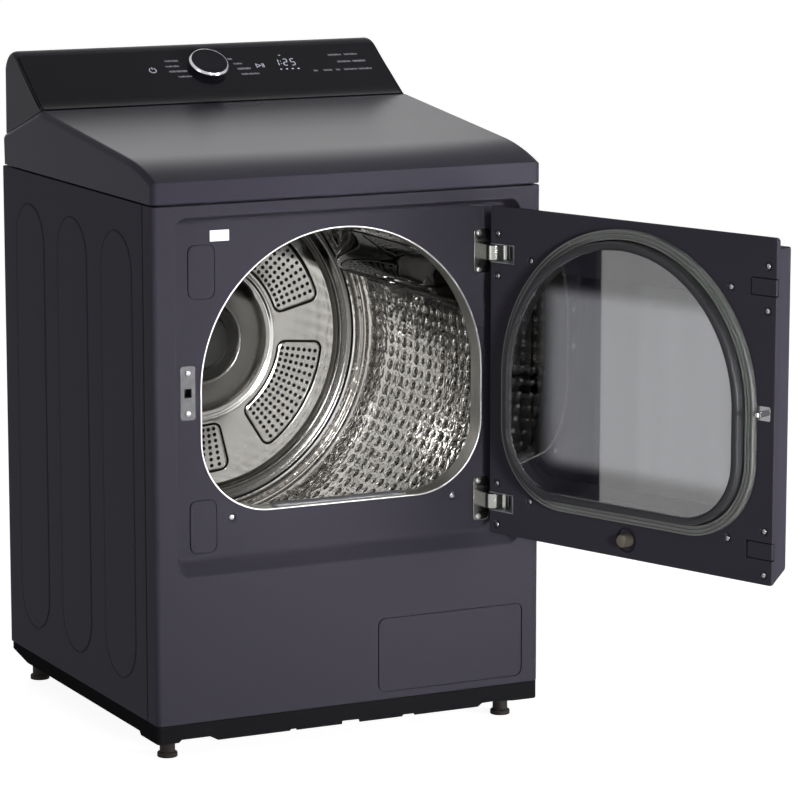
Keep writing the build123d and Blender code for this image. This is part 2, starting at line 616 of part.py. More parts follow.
# Rear bulkhead: plate with a pressed disc that closes the drum, five recessed vent pads
with BuildPart() as rear_bulkhead:
    with BuildSketch(depth_plane(REAR_PLATE_Y)):
        with Locations((0, (PLATE_BOTTOM + PLATE_TOP) / 2)):
            Rectangle(PLATE_W, PLATE_TOP - PLATE_BOTTOM)
        with Locations((0, DRUM_Z)):
            Circle(DISC_R, mode=Mode.SUBTRACT)
        with Locations((0, EXHAUST_Z)):
            Circle(EXHAUST_R + 2, mode=Mode.SUBTRACT)
        with Locations((HEATER_X + HEATER_W / 2, PLATE_BOTTOM + 58.0)):
            Rectangle(HEATER_W - 24, 96, mode=Mode.SUBTRACT)
    extrude(amount=-SHEET)
    with BuildSketch(Plane.YZ):
        with BuildLine():
            Polyline((REAR_PLATE_Y, DRUM_Z + DISC_R + 2), (REAR_WALL_Y, DRUM_Z + DISC_R - 2),
                     (REAR_WALL_Y, DRUM_Z + DOME_R + 7), (REAR_WALL_Y + 2, DRUM_Z + DOME_R),
                     (REAR_WALL_Y - 6, DRUM_Z + DOME_R - 11), (REAR_WALL_Y - 11, DRUM_Z + RING_R),
                     (REAR_WALL_Y - 9, DRUM_Z + RING_R - 4), (REAR_WALL_Y - 9, DRUM_Z + HUB_R + 4),
                     (REAR_WALL_Y - 12, DRUM_Z + HUB_R), (REAR_WALL_Y - 12, DRUM_Z),
                     (REAR_WALL_Y - 10, DRUM_Z), (REAR_WALL_Y - 8.5, DRUM_Z + HUB_R),
                     (REAR_WALL_Y - 6.5, DRUM_Z + HUB_R + 6), (REAR_WALL_Y - 6.5, DRUM_Z + RING_R - 6),
                     (REAR_WALL_Y - 8.5, DRUM_Z + RING_R),
                     (REAR_WALL_Y - 3.5, DRUM_Z + DOME_R - 10), (REAR_WALL_Y + 4.5, DRUM_Z + DOME_R),
                     (REAR_WALL_Y + 2.6, DRUM_Z + DOME_R + 7), (REAR_WALL_Y + 2.6, DRUM_Z + DISC_R - 4),
                     (REAR_PLATE_Y + SHEET, DRUM_Z + DISC_R + 2), close=True)
        make_face()
    revolve(axis=DRUM_AXIS)
    with BuildSketch(depth_plane(REAR_WALL_Y)):
        with Locations((0, DRUM_Z)):
            for pad in range(5):
                add(pad_outline(PAD_FIRST + 72 * pad))
    extrude(amount=-PAD_D, mode=Mode.SUBTRACT)
rear_bulkhead.part.label = "rear_bulkhead"
export_step(rear_bulkhead.part, "parts/rear_bulkhead.step")

# Steel lining of the opening with a bead at the front and the filter slot in its sill
SLOT_W = FILTER_W + 8.0
SLOT_T = FILTER_T + 6.0
FILTER_MID = FILTER_Y + FILTER_T / 2
with BuildPart() as opening_trim:
    with BuildSketch(depth_plane(FLOOR_Y)):
        add(opening_ring(0, -TRIM_T))
    extrude(amount=-(BULKHEAD_Y + SHEET - FLOOR_Y))
    with BuildSketch(depth_plane(FLOOR_Y)):
        add(opening_ring(TRIM_BEAD, -TRIM_T))
    extrude(amount=TRIM_PROUD)
    with BuildSketch(Plane.XY.offset(OPEN_BOTTOM - 1)):
        with Locations((0, FILTER_MID)):
            Rectangle(SLOT_W, SLOT_T)
    extrude(amount=TRIM_T + 2, mode=Mode.SUBTRACT)
opening_trim.part.label = "opening_trim"
export_step(opening_trim.part, "parts/opening_trim.step")

# Duct under the sill that leads the air from the lint filter to the blower
DUCT_TOP = OPEN_BOTTOM - FIT
DUCT_T = BULKHEAD_Y - DUCT_Y
DUCT_MID = (DUCT_LEFT + DUCT_RIGHT) / 2
with BuildPart() as lint_filter_duct:
    with BuildSketch(Plane.XY.offset(DUCT_BOTTOM)):
        with Locations((DUCT_MID, DUCT_Y + DUCT_T / 2)):
            Rectangle(DUCT_RIGHT - DUCT_LEFT, DUCT_T)
    extrude(amount=OPEN_BOTTOM - 60.0 - DUCT_BOTTOM)
    with BuildSketch(Plane.XY.offset(OPEN_BOTTOM - 60.0)):
        with Locations((0, DUCT_Y + DUCT_T / 2)):
            Rectangle(-2 * DUCT_LEFT, DUCT_T)
    extrude(amount=DUCT_TOP - OPEN_BOTTOM + 60.0)
    with BuildSketch(Plane.XY.offset(DUCT_BOTTOM + 2)):
        with Locations((DUCT_MID, DUCT_Y + DUCT_T / 2)):
            Rectangle(DUCT_RIGHT - DUCT_LEFT - 4, DUCT_T - 4)
    extrude(amount=OPEN_BOTTOM - 64.0 - DUCT_BOTTOM, mode=Mode.SUBTRACT)
    with BuildSketch(Plane.XY.offset(OPEN_BOTTOM - 70.0)):
        with Locations((0, DUCT_Y + DUCT_T / 2)):
            Rectangle(-2 * DUCT_LEFT - 4, DUCT_T - 4)
    extrude(amount=72, mode=Mode.SUBTRACT)
    with BuildSketch(depth_plane(BULKHEAD_Y - 3)):
        with Locations((MOTOR_X, MOTOR_Z)):
            Circle(57)
    extrude(amount=-4, mode=Mode.SUBTRACT)
lint_filter_duct.part.label = "lint_filter_duct"
export_step(lint_filter_duct.part, "parts/lint_filter_duct.step")

# Lint filter: a frame with a thin web, its grip flange lies on the sill
SILL_Z = OPEN_BOTTOM + TRIM_T
with BuildPart() as lint_filter:
    with BuildSketch(Plane.XY.offset(SILL_Z - FILTER_H)):
        with Locations((0, FILTER_MID)):
            Rectangle(FILTER_W, FILTER_T)
    extrude(amount=FILTER_H + FIT)
    with BuildSketch(Plane.XY.offset(SILL_Z + FIT)):
        with Locations((0, FILTER_MID)):
            RectangleRounded(SLOT_W + 10, SLOT_T + 3, 6)
    extrude(amount=3.6)
    with BuildSketch(depth_plane(FILTER_Y)):
        with Locations((0, SILL_Z - FILTER_H / 2)):
            with GridLocations(FILTER_W / 3 - 2, 10, 3, 1):
                RectangleRounded(FILTER_W / 3 - 10, FILTER_H - 28, 5)
    extrude(amount=-(FILTER_T / 2 - 1), mode=Mode.SUBTRACT)
    with BuildSketch(depth_plane(FILTER_Y + FILTER_T / 2 + 1)):
        with Locations((0, SILL_Z - FILTER_H / 2)):
            with GridLocations(FILTER_W / 3 - 2, 10, 3, 1):
                RectangleRounded(FILTER_W / 3 - 10, FILTER_H - 28, 5)
    extrude(amount=-(FILTER_T / 2 - 1), mode=Mode.SUBTRACT)
lint_filter.part.label = "lint_filter"
export_step(lint_filter.part, "parts/lint_filter.step")

# Two moisture sensor bars on the bulkhead behind the sill
with BuildPart() as moisture_sensor_bars:
    with BuildSketch(depth_plane(BULKHEAD_Y + SHEET)):
        with Locations((0, OPEN_BOTTOM - 16.0), (0, OPEN_BOTTOM - 32.0)):
            RectangleRounded(150, 7, 3)
    extrude(amount=-3.5)
moisture_sensor_bars.part.label = "moisture_sensor_bars"
export_step(moisture_sensor_bars.part, "parts/moisture_sensor_bars.step")

# Felt seals at the two ends of the drum
with BuildPart() as front_felt_seal:
    with BuildSketch(depth_plane(DRUM_FRONT + 4)):
        add(annulus(DRUM_R - 0.4, COLLAR_R + COLLAR_T + 0.2, 0, DRUM_Z))
    extrude(amount=-12)
front_felt_seal.part.label = "front_felt_seal"
export_step(front_felt_seal.part, "parts/front_felt_seal.step")

with BuildPart() as rear_felt_seal:
    with BuildSketch(depth_plane(REAR_PLATE_Y - 15.0)):
        add(annulus(DRUM_LIP_R - 2, DISC_R + 5, 0, DRUM_Z))
    extrude(amount=-15)
rear_felt_seal.part.label = "rear_felt_seal"
export_step(rear_felt_seal.part, "parts/rear_felt_seal.step")

# Drum with a rolled front edge and an inward lip at the back
with BuildPart() as drum_shell:
    with BuildSketch(Plane.YZ):
        with BuildLine():
            Polyline((DRUM_FRONT, DRUM_Z + DRUM_R), (DRUM_BACK - DRUM_T, DRUM_Z + DRUM_R),
                     (DRUM_BACK - DRUM_T, DRUM_Z + DRUM_LIP_R), (DRUM_BACK, DRUM_Z + DRUM_LIP_R),
                     (DRUM_BACK, DRUM_Z + DRUM_OUT_R), (DRUM_FRONT + 4, DRUM_Z + DRUM_OUT_R),
                     (DRUM_FRONT + 4, DRUM_Z + DRUM_R + 5), (DRUM_FRONT, DRUM_Z + DRUM_R + 5), close=True)
        make_face()
    revolve(axis=DRUM_AXIS)
drum_shell.part.label = "drum_shell"
export_step(drum_shell.part, "parts/drum_shell.step")

# Three lifters along the drum wall
LIFTER_FRONT = DRUM_FRONT + 32.0
LIFTER_L = DRUM_BACK - 12.0 - LIFTER_FRONT
with BuildPart() as drum_lifters:
    for lifter in range(3):
        a = math.radians(LIFTER_FIRST + 120 * lifter)
        lifter_plane = Plane(origin=(0, LIFTER_FRONT, DRUM_Z), x_dir=(math.sin(a), 0, -math.cos(a)),
                             z_dir=(0, -1, 0))
        with BuildSketch(lifter_plane):
            with BuildLine():
                Polyline((-LIFTER_HALF, DRUM_R + 5), (-18, DRUM_R - LIFTER_H), (18, DRUM_R - LIFTER_H),
                         (LIFTER_HALF, DRUM_R + 5), close=True)
            hill = make_face()
            fillet(hill.vertices().group_by(Axis.Y)[0], 20)
            Circle(DRUM_R - FIT, mode=Mode.INTERSECT)
        extrude(amount=-LIFTER_L)
        with BuildSketch(lifter_plane.offset(-LIFTER_T)):
            with BuildLine():
                Polyline((-LIFTER_HALF + 1.6, DRUM_R + 5), (-17, DRUM_R - LIFTER_H + LIFTER_T),
                         (17, DRUM_R - LIFTER_H + LIFTER_T), (LIFTER_HALF - 1.6, DRUM_R + 5), close=True)
            hollow = make_face()
            fillet(hollow.vertices().group_by(Axis.Y)[0], 18.5)
        extrude(amount=-(LIFTER_L - 2 * LIFTER_T), mode=Mode.SUBTRACT)
drum_lifters.part.label = "drum_lifters"
export_step(drum_lifters.part, "parts/drum_lifters.step")

# Four drum rollers and the shafts that carry them
for roller_name, roller_x, roller_y in (
        ("front_left", -ROLLER_X, ROLLER_FRONT_Y), ("front_right", ROLLER_X, ROLLER_FRONT_Y),
        ("rear_left", -ROLLER_X, ROLLER_REAR_Y), ("rear_right", ROLLER_X, ROLLER_REAR_Y)):
    with BuildPart() as drum_roller:
        with BuildSketch(depth_plane(roller_y)):
            add(annulus(ROLLER_R, ROLLER_SHAFT_R + RUN_FIT, roller_x, ROLLER_Z))
        extrude(amount=-ROLLER_T)
        with BuildSketch(depth_plane(roller_y)):
            add(annulus(ROLLER_R - 8, ROLLER_SHAFT_R + 6, roller_x, ROLLER_Z))
        extrude(amount=-5, mode=Mode.SUBTRACT)
        with BuildSketch(depth_plane(roller_y + ROLLER_T - 5)):
            add(annulus(ROLLER_R - 8, ROLLER_SHAFT_R + 6, roller_x, ROLLER_Z))
        extrude(amount=-5, mode=Mode.SUBTRACT)
    drum_roller.part.label = "roller_" + roller_name
    export_step(drum_roller.part, "parts/roller_" + roller_name + ".step")

SHAFT_SIDES = ((-ROLLER_X, ROLLER_Z), (ROLLER_X, ROLLER_Z))
with BuildPart() as roller_shafts:
    with BuildSketch(depth_plane(BULKHEAD_Y + SHEET)):
        with Locations(*SHAFT_SIDES):
            Circle(ROLLER_SHAFT_R + 3)
    extrude(amount=-(ROLLER_FRONT_Y - 0.5 - BULKHEAD_Y - SHEET))
    with BuildSketch(depth_plane(ROLLER_FRONT_Y - 0.5)):
        with Locations(*SHAFT_SIDES):
            Circle(ROLLER_SHAFT_R)
    extrude(amount=-(ROLLER_T + 1))
    with BuildSketch(depth_plane(ROLLER_FRONT_Y + ROLLER_T + 0.5)):
        with Locations(*SHAFT_SIDES):
            Circle(ROLLER_SHAFT_R + 3)
    extrude(amount=-3)
    with BuildSketch(depth_plane(REAR_PLATE_Y)):
        with Locations(*SHAFT_SIDES):
            Circle(ROLLER_SHAFT_R + 3)
    extrude(amount=REAR_PLATE_Y - ROLLER_REAR_Y - ROLLER_T - 0.5)
    with BuildSketch(depth_plane(ROLLER_REAR_Y + ROLLER_T + 0.5)):
        with Locations(*SHAFT_SIDES):
            Circle(ROLLER_SHAFT_R)
    extrude(amount=ROLLER_T + 1)
    with BuildSketch(depth_plane(ROLLER_REAR_Y - 0.5)):
        with Locations(*SHAFT_SIDES):
            Circle(ROLLER_SHAFT_R + 3)
    extrude(amount=3)
roller_shafts.part.label = "roller_shafts"
export_step(roller_shafts.part, "parts/roller_shafts.step")

# Belt round the drum and the motor pulley
with BuildPart() as drive_belt:
    with BuildSketch(depth_plane(BELT_Y)) as belt_outer:
        with BuildLine():
            CenterArc((0, DRUM_Z), DRUM_OUT_R + FIT + BELT_T, 0, 360)
            CenterArc((MOTOR_X, MOTOR_Z), PULLEY_R + BELT_T, 0, 360)
        make_hull()
    extrude(amount=-BELT_W)
    with BuildSketch(depth_plane(BELT_Y)) as belt_inner:
        with BuildLine():
            CenterArc((0, DRUM_Z), DRUM_OUT_R + FIT, 0, 360)
            CenterArc((MOTOR_X, MOTOR_Z), PULLEY_R, 0, 360)
        make_hull()
    extrude(amount=-BELT_W, mode=Mode.SUBTRACT)
drive_belt.part.label = "drive_belt"
export_step(drive_belt.part, "parts/drive_belt.step")

# Motor body on its foot
with BuildPart() as motor:
    with BuildSketch(depth_plane(MOTOR_Y)):
        with Locations((MOTOR_X, MOTOR_Z)):
            Circle(MOTOR_R)
    extrude(amount=-MOTOR_L)
    for leg_y in (MOTOR_Y + 12, MOTOR_Y + MOTOR_L - 20):
        with BuildSketch(depth_plane(leg_y)):
            with Locations((MOTOR_X, (BASE_FLOOR_Z + MOTOR_Z) / 2)):
                Rectangle(92, MOTOR_Z - BASE_FLOOR_Z)
        extrude(amount=-8)
    with BuildSketch(depth_plane(MOTOR_Y + 8)):
        with Locations((MOTOR_X, MOTOR_Z)):
            Circle(MOTOR_R - 6)
    extrude(amount=-(MOTOR_L - 16), mode=Mode.SUBTRACT)
    with BuildSketch(depth_plane(MOTOR_Y)):
        with Locations((MOTOR_X, MOTOR_Z)):
            Circle(SHAFT_R + RUN_FIT)
    extrude(amount=-MOTOR_L, mode=Mode.SUBTRACT)
motor.part.label = "motor"
export_step(motor.part, "parts/motor.step")

# Rotor shaft with its core inside the motor and the grooved belt pulley at the back
with BuildPart() as motor_rotor:
    with BuildSketch(depth_plane(BLOWER_Y + 8)):
        with Locations((MOTOR_X, MOTOR_Z)):
            Circle(SHAFT_R)
    extrude(amount=-(BELT_Y + BELT_W + 10 - BLOWER_Y - 8))
    with BuildSketch(depth_plane(MOTOR_Y + 25)):
        with Locations((MOTOR_X, MOTOR_Z)):
            Circle(MOTOR_R / 2)
    extrude(amount=-(MOTOR_L - 50))
    with BuildSketch(depth_plane(BELT_Y - 4)):
        with Locations((MOTOR_X, MOTOR_Z)):
            Circle(PULLEY_R + 5)
    extrude(amount=-(BELT_W + 8))
    with BuildSketch(depth_plane(BELT_Y - 1)):
        add(annulus(PULLEY_R + 6, PULLEY_R - FIT, MOTOR_X, MOTOR_Z))
    extrude(amount=-(BELT_W + 2), mode=Mode.SUBTRACT)
motor_rotor.part.label = "motor_rotor"
export_step(motor_rotor.part, "parts/motor_rotor.step")

# Blower wheel: hub, back plate, blades and front ring
with BuildPart() as blower_wheel:
    with BuildSketch(depth_plane(BLOWER_Y + 12)):
        add(annulus(16, SHAFT_R + 0.02, MOTOR_X, MOTOR_Z))
    extrude(amount=-(BLOWER_L - 12))
    with BuildSketch(depth_plane(BLOWER_Y + BLOWER_L - 3)):
        add(annulus(BLOWER_R, SHAFT_R + 0.02, MOTOR_X, MOTOR_Z))
    extrude(amount=-3)
    with BuildSketch(depth_plane(BLOWER_Y)):
        add(annulus(BLOWER_R, BLOWER_R - 14, MOTOR_X, MOTOR_Z))
    extrude(amount=-3)
    with BuildSketch(depth_plane(BLOWER_Y)):
        with Locations((MOTOR_X, MOTOR_Z)):
            with PolarLocations(BLOWER_R - 9, 24):
                Rectangle(16, 2)
    extrude(amount=-(BLOWER_L - 1))
blower_wheel.part.label = "blower_wheel"
export_step(blower_wheel.part, "parts/blower_wheel.step")

# Blower housing on the bulkhead, open to the front, with a spigot for the exhaust tube
HOUSING_Y = BULKHEAD_Y + SHEET
with BuildPart() as blower_housing:
    with BuildSketch(depth_plane(HOUSING_Y)):
        with Locations((MOTOR_X, MOTOR_Z)):
            Circle(HOUSING_R)
        with Locations(((MOTOR_X - 58) / 2, EXHAUST_Z)):
            Rectangle(MOTOR_X + 58, 112)
    extrude(amount=-HOUSING_L)
    with BuildSketch(depth_plane(HOUSING_Y)):
        with Locations((MOTOR_X, MOTOR_Z)):
            Circle(HOUSING_R - 2.5)
        with Locations(((MOTOR_X - 55) / 2, EXHAUST_Z)):
            Rectangle(MOTOR_X + 53, 107)
    extrude(amount=-(HOUSING_L - 2.5), mode=Mode.SUBTRACT)
    with BuildSketch(depth_plane(HOUSING_Y + HOUSING_L)):
        with Locations((0, EXHAUST_Z)):
            Circle(EXHAUST_R - 2.5)
    extrude(amount=-30)
    with BuildSketch(depth_plane(HOUSING_Y + HOUSING_L - 3)):
        with Locations((0, EXHAUST_Z)):
            Circle(EXHAUST_R - 4.5)
        with Locations((MOTOR_X, MOTOR_Z)):
            Circle(SHAFT_R + 3)
    extrude(amount=-34, mode=Mode.SUBTRACT)
blower_housing.part.label = "blower_housing"
export_step(blower_housing.part, "parts/blower_housing.step")

# Exhaust tube from the blower housing out through the back, with a slightly thicker outer end
EXHAUST_Y = HOUSING_Y + HOUSING_L + 3.0
EXHAUST_END = BACK + SHEET + EXHAUST_PAST
with BuildPart() as exhaust_duct:
    with BuildSketch(depth_plane(EXHAUST_Y)):
        add(annulus(EXHAUST_R - 0.8, EXHAUST_R - 2.2, 0, EXHAUST_Z))
    extrude(amount=-(EXHAUST_END - EXHAUST_Y))
    with BuildSketch(depth_plane(EXHAUST_END)):
        add(annulus(EXHAUST_R, EXHAUST_R - 1.5, 0, EXHAUST_Z))
    extrude(amount=EXHAUST_PAST - 2)
exhaust_duct.part.label = "exhaust_duct"
export_step(exhaust_duct.part, "parts/exhaust_duct.step")

# Idler against the outside of the belt's tight span, on a bracket from the base
span_x = MOTOR_X
span_z = MOTOR_Z - DRUM_Z
span_d = math.hypot(span_x, span_z)
span_a = math.atan2(span_z, span_x) + math.acos((DRUM_OUT_R + FIT - PULLEY_R) / span_d)
near = (MOTOR_X + PULLEY_R * math.cos(span_a), MOTOR_Z + PULLEY_R * math.sin(span_a))
far = ((DRUM_OUT_R + FIT) * math.cos(span_a), DRUM_Z + (DRUM_OUT_R + FIT) * math.sin(span_a))
IDLER_OFF = BELT_T + FIT + IDLER_R
IDLER_X = near[0] + 0.25 * (far[0] - near[0]) + IDLER_OFF * math.cos(span_a)
IDLER_Z = near[1] + 0.25 * (far[1] - near[1]) + IDLER_OFF * math.sin(span_a)
IDLER_Y = BELT_Y - 2.0
IDLER_T = BELT_W + 4.0
with BuildPart() as idler_pulley:
    with BuildSketch(depth_plane(IDLER_Y)):
        add(annulus(IDLER_R, IDLER_PIN_R + RUN_FIT, IDLER_X, IDLER_Z))
    extrude(amount=-IDLER_T)
idler_pulley.part.label = "idler_pulley"
export_step(idler_pulley.part, "parts/idler_pulley.step")

ARM_Y = IDLER_Y + IDLER_T + 1.0
with BuildPart() as idler_bracket:
    with BuildSketch(depth_plane(ARM_Y)):
        with Locations((IDLER_X, (BASE_FLOOR_Z + IDLER_Z + 14) / 2)):
            Rectangle(30, IDLER_Z + 14 - BASE_FLOOR_Z)
    extrude(amount=-3)
    with BuildSketch(Plane.XY.offset(BASE_FLOOR_Z)):
        with Locations((IDLER_X, ARM_Y + 20)):
            Rectangle(60, 40)
    extrude(amount=3)
    with BuildSketch(depth_plane(ARM_Y)):
        with Locations((IDLER_X, IDLER_Z)):
            Circle(IDLER_PIN_R)
    extrude(amount=IDLER_T + 4)
    with BuildSketch(depth_plane(IDLER_Y - 1)):
        with Locations((IDLER_X, IDLER_Z)):
            Circle(IDLER_PIN_R + 4)
    extrude(amount=2)
idler_bracket.part.label = "idler_bracket"
export_step(idler_bracket.part, "parts/idler_bracket.step")

# Heater box on the base, open in front and through the rear bulkhead
HEATER_MID = HEATER_X + HEATER_W / 2
HEATER_L = REAR_PLATE_Y - HEATER_Y
with BuildPart() as heater_box:
    with BuildSketch(depth_plane(HEATER_Y)):
        with Locations((HEATER_MID, BASE_FLOOR_Z + HEATER_H / 2)):
            Rectangle(HEATER_W, HEATER_H)
            Rectangle(HEATER_W - 2 * SHEET, HEATER_H - 2 * SHEET, mode=Mode.SUBTRACT)
    extrude(amount=-HEATER_L)
heater_box.part.label = "heater_box"
export_step(heater_box.part, "parts/heater_box.step")

# Heater element: an insulating plate with coil rods on it
with BuildPart() as heater_element:
    with BuildSketch(depth_plane(HEATER_Y + 18)):
        with Locations((HEATER_MID, BASE_FLOOR_Z + HEATER_H / 2)):
            Rectangle(4, HEATER_H - 2 * SHEET)
    extrude(amount=-(HEATER_L - 34))
    with BuildSketch(depth_plane(HEATER_Y + 24)):
        with Locations((HEATER_MID, BASE_FLOOR_Z + HEATER_H / 2)):
            with GridLocations(24, 22, 2, 5):
                Circle(5)
            with GridLocations(12, 22, 2, 5):
                Rectangle(14, 4)
    extrude(amount=-(HEATER_L - 46))
heater_element.part.label = "heater_element"
export_step(heater_element.part, "parts/heater_element.step")

# Two thermostats on the side of the heater box
with BuildPart() as thermostats:
    with BuildSketch(Plane.YZ.offset(HEATER_X)):
        with Locations((HEATER_Y + 70, BASE_FLOOR_Z + 80), (HEATER_Y + 140, BASE_FLOOR_Z + 80)):
            Circle(12)
    extrude(amount=-10)
thermostats.part.label = "thermostats"
export_step(thermostats.part, "parts/thermostats.step")

# Terminal block under a domed cover on the back, with the cord hole in the cover's lower wall
REAR_FACE = BACK + SHEET
with BuildPart() as terminal_block:
    with BuildSketch(depth_plane(REAR_FACE)):
        with Locations((TERMINAL_X, TERMINAL_Z)):
            Rectangle(74, 36)
    extrude(amount=-14)
    with BuildSketch(depth_plane(REAR_FACE + 14)):
        with Locations((TERMINAL_X, TERMINAL_Z)):
            with GridLocations(24, 10, 3, 1):
                Circle(5)
    extrude(amount=-4)
terminal_block.part.label = "terminal_block"
export_step(terminal_block.part, "parts/terminal_block.step")

with BuildPart() as terminal_cover:
    with BuildSketch(depth_plane(REAR_FACE)):
        with Locations((TERMINAL_X, TERMINAL_Z)):
            RectangleRounded(COVER_W, COVER_H, 6)
    extrude(amount=-COVER_D)
    with BuildSketch(depth_plane(REAR_FACE)):
        with Locations((TERMINAL_X, TERMINAL_Z)):
            RectangleRounded(COVER_W - 2 * SHEET, COVER_H - 2 * SHEET, 4.5)
    extrude(amount=-(COVER_D - SHEET), mode=Mode.SUBTRACT)
    with BuildSketch(Plane.XY.offset(TERMINAL_Z - COVER_H / 2)):
        with Locations((TERMINAL_X, REAR_FACE + 12.5)):
            Circle(CORD_R)
    extrude(amount=SHEET, mode=Mode.SUBTRACT)
terminal_cover.part.label = "terminal_cover"
export_step(terminal_cover.part, "parts/terminal_cover.step")

# Latch plate, blanking plates and blank label on the recess floor
with BuildPart() as latch_plate:
    with BuildSketch(depth_plane(FLOOR_Y)):
        with Locations((LATCH_X, LATCH_Z)):
            RectangleRounded(LATCH_W, LATCH_H, 5)
            Rectangle(LATCH_HOLE_W, LATCH_HOLE_H, mode=Mode.SUBTRACT)
        with Locations(*LATCH_SCREWS):
            Circle(SCREW_HOLE_R, mode=Mode.SUBTRACT)
    extrude(amount=SHEET)
latch_plate.part.label = "latch_plate"
export_step(latch_plate.part, "parts/latch_plate.step")

with BuildPart() as latch_catch:
    with BuildSketch(depth_plane(FLOOR_Y + SHEET)):
        with Locations((LATCH_X, LATCH_Z)):
            Rectangle(LATCH_W, CATCH_H)
    extrude(amount=-CATCH_D)
    with BuildSketch(depth_plane(FLOOR_Y + SHEET)):
        with Locations((LATCH_X, LATCH_Z)):
            Rectangle(LATCH_HOLE_W + 2, LATCH_HOLE_H + 2)
    extrude(amount=-(CATCH_D - 4), mode=Mode.SUBTRACT)
latch_catch.part.label = "latch_catch"
export_step(latch_catch.part, "parts/latch_catch.step")

BLANK_X = -(RECESS_W / 2 - 57.0)
with BuildPart() as blanking_plates:
    with BuildSketch(depth_plane(FLOOR_Y)):
        with Locations((BLANK_X, RECESS_TOP - 90.5), (BLANK_X, RECESS_BOTTOM + 73.5)):
            RectangleRounded(45, 85, 12)
    extrude(amount=1)
blanking_plates.part.label = "blanking_plates"
export_step(blanking_plates.part, "parts/blanking_plates.step")

with BuildPart() as label_plate:
    with BuildSketch(depth_plane(FLOOR_Y)):
        with Locations((-RECESS_W / 2 + 89.0, RECESS_TOP - 35.0)):
            Rectangle(34, 20)
    extrude(amount=0.4)
label_plate.part.label = "label_plate"
export_step(label_plate.part, "parts/label_plate.step")

# Screws of the cabinet: latch plate, hinge leaves, trim and rear panel
with BuildPart() as panel_screws:
    with BuildSketch(depth_plane(FLOOR_Y - SHEET)):
        with Locations(*LATCH_SCREWS):
            Circle(SCREW_HEAD_R)
    extrude(amount=SCREW_HEAD_H)
    with BuildSketch(depth_plane(FLOOR_Y - SHEET)):
        with Locations(*LATCH_SCREWS):
            Circle(SCREW_R)
    extrude(amount=-SCREW_L)
    with BuildSketch(depth_plane(FLOOR_Y - LEAF_T)):
        with Locations(*HINGE_SCREWS):
            Circle(SCREW_HEAD_R)
    extrude(amount=SCREW_HEAD_H)
    with BuildSketch(depth_plane(FLOOR_Y - LEAF_T)):
        with Locations(*HINGE_SCREWS):
            Circle(SCREW_R)
    extrude(amount=-SCREW_L)
    with BuildSketch(depth_plane(FLOOR_Y)):
        with Locations(*SPARE_SCREWS):
            Circle(SCREW_HEAD_R)
    extrude(amount=SCREW_HEAD_H)
    with BuildSketch(depth_plane(FLOOR_Y)):
        with Locations(*SPARE_SCREWS):
            Circle(SCREW_R)
    extrude(amount=-SCREW_L)
    with BuildSketch(depth_plane(REAR_FACE)):
        with Locations(*REAR_SCREWS):
            Circle(SCREW_HEAD_R)
    extrude(amount=-SCREW_HEAD_H)
    with BuildSketch(depth_plane(REAR_FACE)):
        with Locations(*REAR_SCREWS):
            Circle(SCREW_R)
    extrude(amount=SCREW_L)
panel_screws.part.label = "panel_screws"
export_step(panel_screws.part, "parts/panel_screws.step")

# Hinge leaves with curved strap arms that end in a knuckle on the door's pin
with BuildPart() as hinge_brackets:
    with BuildSketch(depth_plane(FLOOR_Y)):
        with Locations(*[(PIVOT_X - LEAF_W, z) for z in HINGE_Z]):
            RectangleRounded(LEAF_W, LEAF_H, 6)
        with Locations(*HINGE_SCREWS):
            Circle(SCREW_HOLE_R, mode=Mode.SUBTRACT)
    extrude(amount=LEAF_T)
    for hinge_z in HINGE_Z:
        with BuildSketch(Plane.XY.offset(hinge_z - ARM_H / 2)):
            with BuildLine():
                Line((ARM_X, FLOOR_Y - 1), (ARM_X, PIVOT_Y + 13))
                TangentArc((ARM_X, PIVOT_Y + 13), (ARM_X + 13, PIVOT_Y), tangent=(0, -1))
                Line((ARM_X + 13, PIVOT_Y), (PIVOT_X, PIVOT_Y))
            trace(line_width=ARM_T)
            with Locations((PIVOT_X, PIVOT_Y)):
                Circle(KNUCKLE_R)
                Circle(PIN_R + PIN_FIT, mode=Mode.SUBTRACT)
        extrude(amount=ARM_H)
hinge_brackets.part.label = "hinge_brackets"
export_step(hinge_brackets.part, "parts/hinge_brackets.step")

# Pocket liners in the door's hinge edge, each with the pin that the knuckle turns on
LINER_T = 1.5
LINER_X = DOOR_W / 2 - POCKET_W
with BuildPart() as hinge_pivots:
    for hinge_z in HINGE_Z:
        with BuildSketch(door_plane(DOOR_IN)):
            with Locations((LINER_X + POCKET_W / 2 - LINER_T / 2, hinge_z)):
                Rectangle(POCKET_W + LINER_T, POCKET_H + 2 * LINER_T)
        extrude(amount=POCKET_D + LINER_T)
        with BuildSketch(door_plane(DOOR_IN)):
            with Locations((LINER_X + POCKET_W / 2, hinge_z)):
                Rectangle(POCKET_W, POCKET_H)
        extrude(amount=POCKET_D, mode=Mode.SUBTRACT)
        with BuildSketch(Plane.XY.offset(hinge_z - POCKET_H / 2 - LINER_T)):
            with Locations((PIVOT_X, PIVOT_Y)):
                Circle(PIN_R)
        extrude(amount=POCKET_H + 2 * LINER_T)
hinge_pivots.part.label = "hinge_pivots"
export_step(hinge_pivots.part, "parts/hinge_pivots.step")

